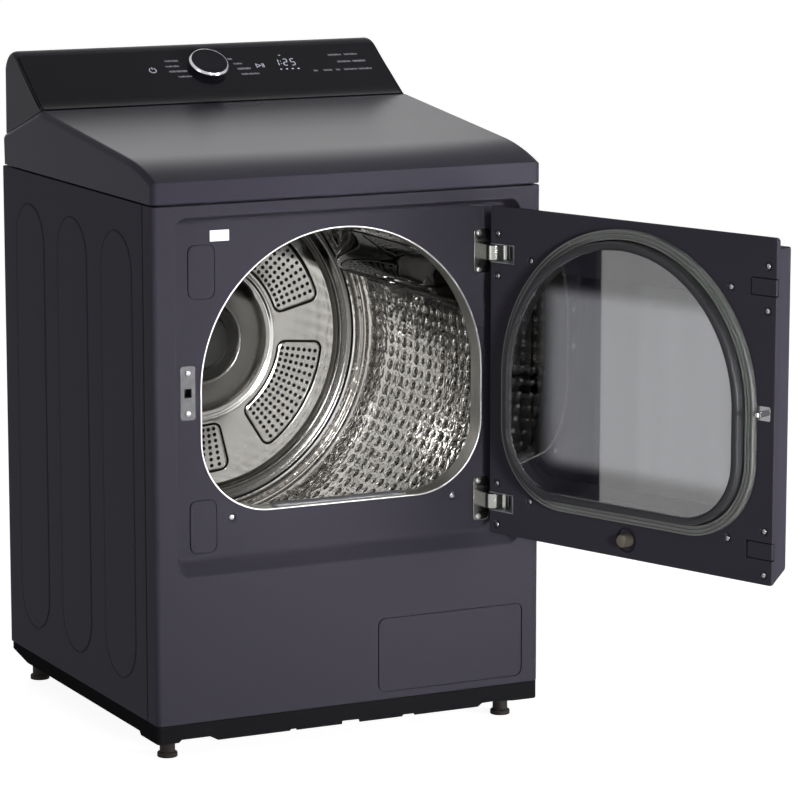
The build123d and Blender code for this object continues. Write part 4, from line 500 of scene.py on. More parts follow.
# Dark steel as painted light: on the hub cap it is a painted dark reflection, in the pad grooves it is
# painted shade.
PAINTED_SHADE_STEEL = Steel("dark_steel_painted_shade", "rear_wall_steel", (72, 72, 70), 0.2, Grain.TURNED, 0.06, relief=0.000004)
WALL = Steel("rear_wall_satin", "rear_wall_steel", (222, 221, 218), 0.12, Grain.TURNED, 0.05, relief=0.000003,
             ripple=0.0006, waves=22.0)
# Steel darker than the rear wall's: painted shade on the domed middle and on the seal ring.
CONE_PAINTED_SHADE = Steel("rear_steel_painted_shade", "rear_wall_steel", (128, 127, 125), 0.2, Grain.TURNED, 0.06, relief=0.000004)
ZINC = Zinc("zinc_sheet", "galvanised", (165, 168, 172), 0.42)
LATCH = Zinc("latch_zinc", "galvanised", (74, 74, 76), 0.42)
HINGE = Steel("hinge_satin_steel", "galvanised", (158, 158, 154), 0.2, Grain.UPRIGHT, 0.1)
# Felt toned paler than its own colour: partly real felt, partly painted light to offset the shade round the
# seals.
FELT = Felt("pale_felt_painted_light", "felt", (160, 157, 152), 0.95)
RUBBER = Rubber("black_rubber", "rubber_black", (40, 36, 34), 0.75)
BUMPER = Rubber("bumper_brown", "rubber_black", (104, 98, 88), 0.7)
GASKET = Rubber("grey_gasket", "gasket_grey", (112, 114, 112), 0.6)
FRAME = Moulding("window_frame_black", "frame_black", (56, 56, 59), 0.32, specular=0.12)
GLASS = Pane("tinted_pane", "tinted_glass", (126, 126, 130), 0.01, border=PrintedBorder())
CLEAR = Pane("clear_pane", "tinted_glass", (232, 233, 234), 0.0, 1.85)
LABEL = Print("blank_label", "white_label", (236, 236, 238), 0.5)
MARKS = Print("printed_marks", "white_label", (168, 169, 176), 0.5)
LIT = Print("lit_marks", "white_label", (214, 217, 230), 0.4, 0.45)
INNER = Moulding("inner_plastic", "inner_black", (28, 28, 30), 0.5)
DUCT = Moulding("duct_plastic_grey", "duct_plastic", (92, 93, 96), 0.5)
FILTER = Moulding("filter_plastic_grey", "duct_plastic", (138, 139, 142), 0.45)
SCREW = Steel("screw_zinc", "screw_steel", (186, 187, 190), 0.28, Grain.ACROSS, 0.1)
DOOR_SCREW = Steel("screw_dull_zinc", "screw_steel", (150, 150, 152), 0.25, Grain.ACROSS, 0.08)
MOTOR = Enamel("motor_enamel", "motor_paint", (58, 60, 66), 0.45)
ROTOR = Steel("rotor_machined", "rotor_steel", (170, 170, 172), 0.35, Grain.TURNED, 0.15, (0.15, 0.155))
BOARD = Moulding("board_resin", "board_green", (28, 74, 46), 0.4)
CERAMIC = Rubber("heater_mica", "heater_ceramic", (196, 186, 168), 0.7)
FINISHES: tuple[Finish, ...] = (
    PAINT, CONSOLE, FASCIA, KNOB, BASE, TRIM, DRUM, WALL, ZINC, FELT, RUBBER, GASKET, FRAME, GLASS, LABEL,
    INNER, DUCT, SCREW, MOTOR, ROTOR, BOARD, CERAMIC)


def arc(x: float, y: float, radius: float, start: float, sweep: float, steps: int) -> list[Point]:
    """Points along an arc about a centre, both ends included, with its angles in degrees."""
    angles = [math.radians(start + sweep * n / steps) for n in range(steps + 1)]
    return [(x + radius * math.cos(a), y + radius * math.sin(a)) for a in angles]


def tangent_arc(start: Point, heading: Point, end: Point, steps: int) -> list[Point]:
    """Points of the arc that leaves a point along a heading and meets another point.

    Args:
        start: first point.
        heading: direction in which the arc leaves it.
        end: last point.
        steps: number of chords.

    Returns:
        The points in order, both ends included.
    """
    length = math.hypot(*heading)
    nx, ny = -heading[1] / length, heading[0] / length
    dx, dy = end[0] - start[0], end[1] - start[1]
    radius = (dx * dx + dy * dy) / (2 * (dx * nx + dy * ny))
    cx, cy = start[0] + radius * nx, start[1] + radius * ny
    a0 = math.atan2(start[1] - cy, start[0] - cx)
    turn = math.atan2(end[1] - cy, end[0] - cx) - a0
    turn = (turn + math.pi) % (2 * math.pi) - math.pi
    return arc(cx, cy, abs(radius), math.degrees(a0), math.degrees(turn), steps)


def normals(line: Sequence[Point], closed: bool = False) -> list[Point]:
    """Unit normals of a line, to the right of its course.

    Args:
        line: its points.
        closed: the last point joins the first.

    Returns:
        A normal for each point.
    """
    made = []
    for n in range(len(line)):
        a = line[n - 1 if closed else max(n - 1, 0)]
        b = line[(n + 1) % len(line) if closed else min(n + 1, len(line) - 1)]
        run = math.hypot(b[0] - a[0], b[1] - a[1]) or 1.0
        made.append(((b[1] - a[1]) / run, -(b[0] - a[0]) / run))
    return made


def both_ends(row: Callable[..., Ring], ends: Sequence[tuple[float, ...]]) -> list[Ring]:
    """Sections from the left end to the right end of a piece that is the same at both."""
    return [row(-x, *rest) for x, *rest in ends] + [row(x, *rest) for x, *rest in reversed(ends)]


class Outline:
    """A closed flat outline that can be grown outwards."""

    def points(self, grow: float = 0.0) -> list[Point]:
        """The outline's corners, anticlockwise."""
        raise NotImplementedError


@dataclass(frozen=True)
class RoundedBox(Outline):
    """A rectangle with rounded corners."""

    x: float
    y: float
    w: float
    h: float
    r: float
    steps: int = 6

    def points(self, grow: float = 0.0) -> list[Point]:
        """Four corner arcs.

        Args:
            grow: distance outside the rectangle.

        Returns:
            The points, anticlockwise.
        """
        r = max(self.r + grow, 0.02)
        a, b = self.w / 2 + grow - r, self.h / 2 + grow - r
        corners = ((a, b, 0), (-a, b, 90), (-a, -b, 180), (a, -b, 270))
        return [p for cx, cy, start in corners
                for p in arc(self.x + cx, self.y + cy, r, start, 90, self.steps)]


@dataclass(frozen=True)
class Round(Outline):
    """A circle."""

    x: float = 0.0
    y: float = 0.0
    r: float = 0.0
    steps: int = 48

    def points(self, grow: float = 0.0) -> list[Point]:
        """Points round the circle."""
        return arc(self.x, self.y, self.r + grow, 0, 360, self.steps)[:-1]


@dataclass(frozen=True)
class Mouth(Outline):
    """The loading opening: a half circle over a rounded trough."""

    r: float = 250.0
    mid: float = 593.0
    low: float = 394.0
    corner: float = 120.0

    def points(self, grow: float = 0.0) -> list[Point]:
        """Top arc, then the two lower corners.

        Args:
            grow: distance outside the opening.

        Returns:
            The points, anticlockwise.
        """
        r, c, low = self.r + grow, self.corner + grow, self.low - grow
        return (arc(0, self.mid, r, 0, 180, 72) + arc(c - r, low + c, c, 180, 90, 24)
                + arc(r - c, low + c, c, 270, 90, 24))


@dataclass(frozen=True)
class Sector(Outline):
    """A ring sector with rounded corners about the origin."""

    inner: float
    outer: float
    mid: float
    span: float
    corner: float

    def points(self, grow: float = 0.0) -> list[Point]:
        """Outer arc, two corners, inner arc, two corners.

        Args:
            grow: distance outside the sector.

        Returns:
            The points, anticlockwise.
        """
        far, near = self.outer - self.corner, self.inner + self.corner
        a0 = self.mid - self.span / 2
        a1 = a0 + self.span
        d_far, d_near = (math.degrees(math.asin(self.corner / r)) for r in (far, near))

        def corner(radius: float, angle: float, start: float, sweep: float) -> list[Point]:
            """One rounded corner about its own centre."""
            a = math.radians(angle)
            return arc(radius * math.cos(a), radius * math.sin(a), self.corner + grow, start, sweep, 5)

        return (arc(0, 0, self.outer + grow, a0 + d_far, self.span - 2 * d_far, 20)
                + corner(far, a1 - d_far, a1 - d_far, 90 + d_far)[1:]
                + corner(near, a1 - d_near, a1 + 90, 90 - d_near)
                + arc(0, 0, self.inner - grow, a1 - d_near, 2 * d_near - self.span, 20)[1:]
                + corner(near, a0 + d_near, a0 + d_near + 180, 90 - d_near)[1:]
                + corner(far, a0 + d_far, a0 - 90, 90 + d_far)[:-1])


@dataclass(frozen=True)
class NotchedBox(Outline):
    """The door tray's outline: a rectangle with two notches in each side edge."""

    half: float
    low: float
    high: float
    heights: Point
    right: Point
    left: Point
    r: float = 5.0

    def points(self, grow: float = 0.0) -> list[Point]:
        """Corners from the bottom right; notches shrink as the box grows.

        Args:
            grow: distance outside the box.

        Returns:
            The points, anticlockwise.
        """
        half, r = self.half + grow, self.r
        low, high = self.low - grow + r, self.high + grow - r
        made = arc(half - r, low, r, 270, 90, 4)
        for side, (depth, tall), heights in ((1, self.right, sorted(self.heights)),
                                             (-1, self.left, sorted(self.heights, reverse=True))):
            edge, inner, reach = side * half, side * (self.half - depth + grow), side * (tall / 2 - grow)
            for z in heights:
                made += [(edge, z - reach), (inner, z - reach), (inner, z + reach), (edge, z + reach)]
            if side == 1:
                made += arc(half - r, high, r, 0, 90, 4) + arc(r - half, high, r, 90, 90, 4)
        return made + arc(r - half, low, r, 180, 90, 4)


@dataclass(frozen=True)
class Datum:
    """A flat working plane: its origin, two directions in it and the way out of it."""

    origin: Vector
    u: Vector
    v: Vector
    n: Vector

    def at(self, point: Point, height: float = 0.0) -> Vector:
        """The place of a point of the plane, at a height over it."""
        return self.origin + self.u * point[0] + self.v * point[1] + self.n * height

    def matrix(self) -> Matrix:
        """The plane as a matrix.

        Returns:
            The matrix, in millimetres.
        """
        made = Matrix((self.u, self.v, self.n)).transposed().to_4x4()
        made.translation = self.origin
        return made


X, Y, Z = Vector((1, 0, 0)), Vector((0, 1, 0)), Vector((0, 0, 1))
PIVOT: Point = (277.0, -345.0)
HINGE_HEIGHTS: Point = (789.0, 378.0)
RECESS_FLOOR = -311.0
LATCH_PLACE: Point = (-273.0, 593.5)
LATCH_HOLE = RoundedBox(*LATCH_PLACE, 12.0, 14.0, 1.0)
HINGE_BLANKS = (RoundedBox(-248.0, 785.5, 45.0, 85.0, 12.0, 8),
                RoundedBox(-248.0, 376.5, 45.0, 85.0, 12.0, 8))
EXHAUST = Round(0.0, 125.0, 53.0)
TRIM_SCREWS: Path = ((-198.0, 387.0), (198.0, 387.0))


def upright(depth: float, out: float = -1.0) -> Datum:
    """A plane across the dryer at a depth, facing the front (-1) or the back (1)."""
    return Datum(Y * depth, X, Z, Y * out)


def level(height: float) -> Datum:
    """A level plane that faces up."""
    return Datum(Z * height, X, Y, Z)


def beside(side: float, x: float) -> Datum:
    """A plane along the dryer's side, facing left (-1) or right (1)."""
    return Datum(X * side * x, Y, Z, X * side)


def staged(name: str, data: Any) -> bpy.types.Object:
    """Put a new object in the scene.

    Args:
        name: its name.
        data: its mesh, lamp or camera.

    Returns:
        The object.
    """
    made = bpy.data.objects.new(name, data)
    bpy.context.scene.collection.objects.link(made)
    return made


def settle(made: bpy.types.Object) -> None:
    """Turn an object's modifiers into plain mesh.

    Args:
        made: the object.
    """
    old = made.data
    graph = bpy.context.evaluated_depsgraph_get()
    made.data = bpy.data.meshes.new_from_object(made.evaluated_get(graph))
    made.modifiers.clear()
    made.data.name = made.name
    bpy.data.meshes.remove(old)


@dataclass
class Piece:
    """A finished piece, the body that it rides on and the CAD nodes that it stands for."""

    made: bpy.types.Object
    finish: Finish
    body: str = "cabinet"
    nodes: tuple[str, ...] = ()

    def mount(self) -> None:
        """Ride the piece on its body, hide the CAD nodes that it stands for and log them."""
        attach(self.made, self.body)
        if self.nodes:
            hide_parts(*self.nodes)
        log.info("%s rides on %s for %s", self.made.name, self.body, ", ".join(self.nodes) or "nothing")


class Blank:
    """A mesh in the making, in millimetres."""

    def __init__(self) -> None:
        """Start with nothing."""
        self.bm = bmesh.new()

    def ring(self, points: Sequence[Vector]) -> list[bmesh.types.BMVert]:
        """Add a row of points."""
        return [self.bm.verts.new(p) for p in points]

    def skin(self, rings: Sequence[Ring], closed: bool = True, caps: bool = False, wrap: bool = False,
             gaps: Sequence[tuple[int, int]] = ()) -> "Blank":
        """Stretch faces over a row of rings.

        Args:
            rings: rings with as many points each.
            closed: join each ring's last point to its first.
            caps: close the first and last ring with a face.
            wrap: join the last ring to the first.
            gaps: strips, with the side along each, to leave open.

        Returns:
            The same mesh.
        """
        made = [self.ring(points) for points in rings]
        for strip, (a, b) in enumerate(zip(made, made[1:] + (made[:1] if wrap else []))):
            for i in range(len(a) - (0 if closed else 1)):
                if (strip, i) not in gaps:
                    j = (i + 1) % len(a)
                    self.bm.faces.new((a[i], a[j], b[j], b[i]))
        if caps:
            self.bm.faces.new(made[0])
            self.bm.faces.new(made[-1])
        return self

    def loft(self, outline: Outline, datum: Datum, profile: Sequence[Point], caps: bool = False,
             wrap: bool = False) -> "Blank":
        """Skin an outline that grows and rises along a profile of growth and height."""
        return self.skin([[datum.at(p, h) for p in outline.points(g)] for g, h in profile], True, caps, wrap)

    def plate(self, datum: Datum, height: float, loops: Sequence[Sequence[Point]]) -> "Blank":
        """Fill a flat outline round its holes.

        Args:
            datum: the plane.
            height: height over the plane.
            loops: the outline, then its holes.

        Returns:
            The same mesh.
        """
        edges = []
        for loop in loops:
            kept = [p for n, p in enumerate(loop) if math.dist(p, loop[n - 1]) > 0.01]
            row = self.ring([datum.at(p, height) for p in kept])
            edges += [self.bm.edges.new((row[i - 1], row[i])) for i in range(len(row))]
        bmesh.ops.triangle_fill(self.bm, use_beauty=True, edges=edges, normal=datum.n)
        return self

    def pressed(self, outline: Outline, datum: Datum, profile: Sequence[Point]) -> "Blank":
        """Press an outline in or out of a sheet, with a flat at its end; arguments as for loft."""
        grow, height = profile[-1]
        return self.loft(outline, datum, profile).plate(datum, height, [outline.points(grow)])

    def piece(self, name: str, finish: Finish, node: str = "", body: str = "cabinet", wall: float = 0.0,
              outward: Optional[Vector] = None, turn: Optional[Matrix] = None, sharp: float = 35.0) -> Piece:
        """Finish the mesh as a piece in metres.

        Args:
            name: the piece's name.
            finish: its finish.
            node: the CAD node that it stands for.
            body: the body that it rides on.
            wall: wall to give an open sheet, inwards.
            outward: the way that most of an open sheet faces.
            turn: a last movement in millimetres.
            sharp: edges that bend by more degrees stay crisp.

        Returns:
            The piece.
        """
        bmesh.ops.remove_doubles(self.bm, verts=self.bm.verts, dist=0.003)
        bmesh.ops.dissolve_degenerate(self.bm, edges=self.bm.edges, dist=0.001)
        bmesh.ops.recalc_face_normals(self.bm, faces=self.bm.faces)
        if outward is not None:
            facing = sum((f.normal * f.calc_area() for f in self.bm.faces), Vector())
            if facing.dot(outward) < 0:
                bmesh.ops.reverse_faces(self.bm, faces=self.bm.faces)
        bmesh.ops.transform(self.bm, matrix=Matrix.Scale(MM, 4) @ (turn or Matrix()), verts=self.bm.verts)
        mesh = bpy.data.meshes.new(name)
        self.bm.to_mesh(mesh)
        self.bm.free()
        made = staged(name, mesh)
        if wall:
            sheet = made.modifiers.new("wall", "SOLIDIFY")
            sheet.thickness = wall * MM
            sheet.offset = -1.0
            settle(made)
        made.data.shade_smooth()
        made.data.set_sharp_from_angle(angle=math.radians(sharp))
        made.modifiers.new("weights", "WEIGHTED_NORMAL").keep_sharp = True
        settle(made)
        made.data.materials.clear()
        made.data.materials.append(finish.material())
        return Piece(made, finish, body, (node,) if node else ())


class Jig:
    """A Geometry Nodes tree with named sizes that makes what repeats."""

    def __init__(self, name: str) -> None:
        """Start a tree that takes and gives geometry.

        Args:
            name: the tree's name.
        """
        self.tree = bpy.data.node_groups.new(name, "GeometryNodeTree")
        self.bench = Bench(self.tree)
        for way in ("INPUT", "OUTPUT"):
            self.tree.interface.new_socket("Geometry", in_out=way, socket_type="NodeSocketGeometry")
        self.entry = self.bench.node("NodeGroupInput")

    def geo(self, kind: str, inputs: Optional[dict[Key, Any]] = None, **settings: Any) -> Wire:
        """Add a Geometry Nodes node."""
        return self.bench.node("GeometryNode" + kind, inputs, **settings)

    def vector(self, *parts: Number) -> Wire:
        """A vector from its parts."""
        return self.bench.node("ShaderNodeCombineXYZ", dict(enumerate(parts)))

    def facing(self, way: Wire) -> Wire:
        """A turn that lays the upright axis along a direction."""
        return self.bench.node("FunctionNodeAlignRotationToVector", {"Vector": way}, axis="Z")

    def sizes(self, *names: str, kind: str = "Float") -> list[Wire]:
        """Add named inputs.

        Args:
            names: their names.
            kind: their type.

        Returns:
            Their wires.
        """
        for name in names:
            self.tree.interface.new_socket(name, in_out="INPUT", socket_type="NodeSocket" + kind)
        return [self.entry.out(name) for name in names]

    def disc(self, sides: int, radius: Number) -> Wire:
        """A flat filled disc."""
        return self.geo("MeshCircle", {"Vertices": sides, "Radius": radius}, fill_type="NGON")

    def joined(self, *parts: Wire) -> Wire:
        """Put geometries together.

        Args:
            parts: the geometries.

        Returns:
            All of them as one.
        """
        join = self.geo("JoinGeometry")
        for part in parts:
            self.tree.links.new(part.socket, join.node.inputs[0])
        return join

    def sealed(self, shape: Wire, start: Wire) -> Wire:
        """A shape pulled up from a flat start, closed underneath by that start turned over."""
        both = self.joined(shape, self.geo("FlipFaces", {"Mesh": start}))
        return self.geo("MergeByDistance", {"Geometry": both, "Distance": 0.001})

    def raised(self, start: Wire, steps: Sequence[tuple[Number, float]]) -> Wire:
        """Pull a flat start up in steps.

        Args:
            start: the start.
            steps: pairs of rise and scale of the top face.

        Returns:
            The shape, closed underneath.
        """
        shape = start
        chosen: dict[Key, Any] = {}
        for rise, scale in steps:
            pulled = self.geo("ExtrudeMesh",
                              {"Mesh": shape, "Offset Scale": rise, "Individual": False, **chosen},
                              mode="FACES")
            chosen = {"Selection": pulled.out("Top")}
            shape = self.geo("ScaleElements", {"Geometry": pulled, "Scale": scale, **chosen})
        return self.sealed(shape, start)

    def close(self, shape: Wire) -> None:
        """End the tree with real geometry in its finish.

        Args:
            shape: what the tree makes.
        """
        real = self.geo("RealizeInstances", {"Geometry": shape})
        soft = self.geo("SetShadeSmooth", {"Geometry": real, "Shade Smooth": True})
        (material,) = self.sizes("Material", kind="Material")
        self.bench.node("NodeGroupOutput",
                        {0: self.geo("SetMaterial", {"Geometry": soft, "Material": material})})

    def run(self, name: str, start: bpy.types.Mesh, finish: Finish, sizes: dict[str, Any], node: str = "",
            body: str = "cabinet", turn: Optional[Matrix] = None, sharp: float = 40.0) -> Piece:
        """Make the geometry once as a plain mesh.

        Args:
            name: the piece's name.
            start: what the tree starts from, in millimetres.
            finish: the finish.
            sizes: values of the named inputs.
            node: the CAD node that it stands for.
            body: the body that it rides on.
            turn: a last movement in millimetres.
            sharp: edges that bend by more degrees stay crisp.

        Returns:
            The piece, in metres.
        """
        made = staged(name, start)
        layer = made.modifiers.new("jig", "NODES")
        layer.node_group = self.tree
        values = dict(sizes, Material=finish.material())
        for item in self.tree.interface.items_tree:
            if item.item_type == "SOCKET" and item.in_out == "INPUT" and item.name in values:
                layer[item.identifier] = values[item.name]
        settle(made)
        made.data.transform(Matrix.Scale(MM, 4) @ (turn or Matrix()))
        made.data.set_sharp_from_angle(angle=math.radians(sharp))
        return Piece(made, finish, body, (node,) if node else ())


def start_mesh(points: Sequence[Vector] = (), edges: Sequence[tuple[int, int]] = ()) -> bpy.types.Mesh:
    """What a jig starts from.

    Args:
        points: loose points.
        edges: pairs of points that are joined.

    Returns:
        The mesh.
    """
    mesh = bpy.data.meshes.new("start")
    mesh.from_pydata(points, edges, [])
    return mesh


def spots(places: Sequence[tuple[Vector, Vector]]) -> bpy.types.Mesh:
    """Loose points that carry the way they face.

    Args:
        places: pairs of place and facing.

    Returns:
        The mesh of points.
    """
    mesh = start_mesh([place for place, _ in places])
    facing = mesh.attributes.new("facing", "FLOAT_VECTOR", "POINT")
    for item, (_, way) in zip(facing.data, places):
        item.vector = way
    return mesh


class ScrewJig(Jig):
    """Pan-head screws with a drive recess, one on each point."""

    def __init__(self) -> None:
        """Turn one head and set it on the points."""
        super().__init__("screw_heads")
        radius, height = self.sizes("Radius", "Height")
        head = self.raised(self.disc(16, radius), (
            (height * 0.45, 0.99), (height * 0.35, 0.88), (height * 0.2, 0.75), (0.0, 0.62),
            (height * -0.5, 0.6)))
        way = self.geo("InputNamedAttribute", {"Name": "facing"}, data_type="FLOAT_VECTOR")
        self.close(self.geo("InstanceOnPoints", {
            "Points": self.entry, "Instance": head, "Rotation": self.facing(way)}))


class DimpleJig(Jig):
    """Large and small dimples by turns over the drum's wall, left out under the lifters."""

    def __init__(self) -> None:
        """Lay the points round the wall and set a dimple on each."""
        super().__init__("drum_dimples")
        radius, axis, start, pitch = self.sizes("Drum Radius", "Axis Height", "Start", "Pitch")
        wide, tall, small = self.sizes("Dimple Radius", "Dimple Height", "Small Scale")
        first, clear = self.sizes("First Lifter", "Lifter Clearance")
        rows, columns = self.sizes("Rows", "Columns", kind="Int")
        index = self.geo("InputIndex")
        column = index % columns
        turn = index.calc("FLOOR", index / columns) * (2 * math.pi) / rows
        across, up = turn.calc("COSINE", turn), turn.calc("SINE", turn)
        third = 2 * math.pi / 3
        past = (turn - first + third / 2) % third - third / 2
        points = self.geo("Points", {"Count": rows * columns, "Position": self.vector(
            radius * across, start + column * pitch, axis + radius * up)})
        dimple = self.raised(self.disc(12, wide), (
            (tall * 0.12, 0.9), (tall * 0.43, 0.79), (tall * 0.33, 0.64), (tall * 0.12, 0.36)))
        scale = 1.0 - column % 2.0 * (1.0 - small)
        self.close(self.geo("InstanceOnPoints", {
            "Points": points, "Selection": past.calc("GREATER_THAN", past.calc("ABSOLUTE", past), clear),
            "Instance": dimple, "Rotation": self.facing(self.vector(across * -1.0, 0.0, up * -1.0)),
            "Scale": self.vector(scale, scale, scale)}))


class VentJig(Jig):
    """A plate with an outline from edges and round holes in rays."""

    def __init__(self) -> None:
        """Lay the holes out in rays, fill the outline round them and give it thickness."""
        super().__init__("vent_plate")
        inner, pitch, first, step = self.sizes("Inner Radius", "Radial Pitch", "First Ray", "Ray Step")
        hole, thick = self.sizes("Hole Radius", "Thickness")
        rings, rays = self.sizes("Rings", "Rays", kind="Int")
        index = self.geo("InputIndex")
        radius = inner + index % rings * pitch
        turn = first + index.calc("FLOOR", index / rings) * step
        points = self.geo("Points", {"Count": rings * rays, "Position": self.vector(
            radius * turn.calc("COSINE", turn), radius * turn.calc("SINE", turn), 0.0)})
        circle = self.geo("CurvePrimitiveCircle", {"Resolution": 12, "Radius": hole})
        holes = self.geo("RealizeInstances", {
            "Geometry": self.geo("InstanceOnPoints", {"Points": points, "Instance": circle})})
        outline = self.geo("MeshToCurve", {"Mesh": self.entry})
        flat = self.geo("FillCurve", {"Curve": self.joined(outline, holes)})
        pulled = self.geo("ExtrudeMesh", {"Mesh": flat, "Offset Scale": thick, "Individual": False},
                          mode="FACES")
        self.close(self.sealed(pulled, flat))


class RibJig(Jig):
    """Rounded ribs in a row."""

    def __init__(self) -> None:
        """Set one rib on each of a row of points."""
        super().__init__("rib_row")
        pitch, long, wide, tall = self.sizes("Pitch", "Length", "Width", "Height")
        (count,) = self.sizes("Count", kind="Int")
        across = (self.geo("InputIndex") - (count - 1.0) * 0.5) * pitch
        points = self.geo("Points", {"Count": count, "Position": self.vector(across, 0.0, 0.0)})
        sheet = self.geo("MeshGrid", {"Size X": wide, "Size Y": long, "Vertices X": 2, "Vertices Y": 2})
        rib = self.raised(sheet, ((tall * 0.7, 1.0), (tall * 0.3, 0.8)))
        self.close(self.geo("InstanceOnPoints", {"Points": points, "Instance": rib}))


@dataclass
class Cabinet:
    """The painted box: front with its door recess, sides, lid, base and back."""

    half: float = 343.0
    front: float = -341.0
    back: float = 313.0
    foot: float = 65.0
    top: float = 895.5
    wrap: float = -301.5
    corner: float = 9.0
    roll: float = 1.6
    recess: Triple = (305.0, 303.0, 876.0)
    slopes: Triple = (8.0, 21.0, 8.0)
    access: RoundedBox = RoundedBox(179.5, 139.5, 262.4, 121.0, 12.0)
    access_line: Path = ((7.0, -4.4), (7.0, -3.4), (0.0, -3.4), (0.0, -0.8), (-0.2, -0.2), (-0.8, 0.0))
    emboss: Triple = (128.0, 728.0, 0.8)
    emboss_places: Triple = (124.0, 190.0, 50.0)
    lid_z: float = 898.5
    lid_rim: float = 1.2
    crease: float = 933.0
    curve_end: Point = (-226.0, 962.5)
    peak: Point = (139.0, 1003.0)
    lid_rear: Point = (311.0, 949.0)
    lid_round: float = 10.0
    cord_hole: Round = Round(-230.0, 264.0, 12.0, 20)
    louvre: RoundedBox = RoundedBox(170.0, 737.0, 90.0, 6.0, 3.0)
    louvre_pitch: float = 14.0
    plinth_half: Point = (342.2, 326.5)
    plinth_low: Triple = (41.0, 35.0, 52.0)
    plinth_corner: Point = (64.0, 70.0)
    plinth_rows: tuple[tuple[float, Optional[float], float], ...] = (
        (-3.5, 65.0, 0.0), (-0.8, 65.0, 0.0), (0.0, 64.2, 0.0), (0.0, None, 1.0), (-0.9, None, 0.0),
        (-3.2, None, 0.0), (-3.6, 50.0, 0.0))
    plinth_edge: Path = (
        (-306.0, 35.4), (-301.0, 39.7), (-252.0, 39.7), (-238.0, 32.2), (-111.0, 32.2), (-110.0, 34.6),
        (-100.0, 34.6), (-99.0, 32.2), (-18.5, 32.2), (-17.5, 37.4), (13.0, 37.0), (14.0, 32.2), (91.5, 32.2),
        (92.5, 35.0), (113.0, 35.0), (114.0, 32.2), (231.0, 32.2), (239.0, 37.6), (262.0, 38.2),
        (297.0, 35.2))

    def build(self) -> list[Piece]:
        """Make and dress the cabinet's outer pieces."""
        return [self.front_sheet(), self.access_flap(), self.side_sheet(-1.0, "left"),
                self.side_sheet(1.0, "right"), self.lid(), self.plinth(), self.back_sheet()]

    def wrap_row(self, inset: float, z: float) -> Ring:
        """Points along the front sheet's plan, from the left rear edge round to the right.

        Args:
            inset: distance inside the outer face.
            z: height.

        Returns:
            The points.
        """
        r = max(self.corner - inset, 0.05)
        cx, cy, end = self.half - self.corner, self.front + self.corner, self.half - inset
        fold = [(end, self.wrap - 1.0), (end - 1.0, self.wrap), (end - 8.0, self.wrap)]
        plan = [(-x, y) for x, y in fold[::-1]] + arc(-cx, cy, r, 180, 90, 7)
        plan += arc(cx, cy, r, 270, 90, 7) + fold
        return [Vector((x, y, z)) for x, y in plan]

    def recess_outline(self, depth: float) -> RoundedBox:
        """The recess's outline.

        Args:
            depth: depth behind the front face.

        Returns:
            The outline there.
        """
        half, low, high = self.recess
        side, sill, head = self.slopes
        t = min(depth / (RECESS_FLOOR - self.front), 1.0)
        low, high = low + sill * t, high - head * t
        return RoundedBox(0, (low + high) / 2, 2 * (half - side * t), high - low, 20 - 6 * t, 10)

    def front_sheet(self) -> Piece:
        """Front panel: rolled edges, sloping recess and the hole for the loading opening.

        Returns:
            The piece.
        """
        blank, datum, floor = Blank(), upright(self.front), upright(RECESS_FLOOR)
        roll = ((12.0, 0.0), (self.roll, 0.0), (0.5, 0.5), (0.0, self.roll))
        rows = [(inset, self.foot + rise) for inset, rise in roll]
        rows += [(inset, self.top - rise) for inset, rise in roll[::-1]]
        blank.skin([self.wrap_row(inset, z) for inset, z in rows], closed=False, gaps=[(3, 10)])
        flat, low, high = self.half - self.corner, self.foot + self.roll, self.top - self.roll
        blank.plate(datum, 0.0, [[(-flat, low), (flat, low), (flat, high), (-flat, high)],
                                 self.recess_outline(0.0).points(3.0), self.access.points(2.2)])
        blank.loft(self.access, datum, ((2.2, 0.0), (1.75, -0.2), (1.6, -0.8), (1.6, -2.6)))
        steps = ((0.0, 3.0), (0.23, 1.15), (0.88, 0.23), (3.0, 0.0), (12.0, 0.0), (22.0, 0.0), (26.0, -0.4),
                 (28.4, -1.7), (29.6, -3.6), (30.0, -6.5))
        blank.skin([[datum.at(p, -d) for p in self.recess_outline(d).points(g)] for d, g in steps])
        dips = [Round(x, z, 8.5, 24) for x, z in TRIM_SCREWS]
        blank.plate(floor, 0.0,
                    [self.recess_outline(30.0).points(-6.5), Mouth().points(0.5), LATCH_HOLE.points()]
                    + [box.points(1.5) for box in HINGE_BLANKS] + [dip.points() for dip in dips])
        for dip in dips:
            blank.pressed(dip, floor, ((0.0, 0.0), (-0.6, -0.2), (-2.0, -2.0), (-3.0, -2.6)))
        for box in HINGE_BLANKS:
            blank.loft(box, floor, ((1.5, 0.0), (1.15, -0.2), (1.0, -0.6), (1.0, -2.2)))
        return blank.piece("front_sheet", PAINT, "front_panel", wall=1.0, outward=-Y)

    def access_flap(self) -> Piece:
        """Flush cover of the service opening."""
        return Blank().loft(self.access, upright(self.front), self.access_line, caps=True).piece(
            "access_flap", PAINT, "access_cover")

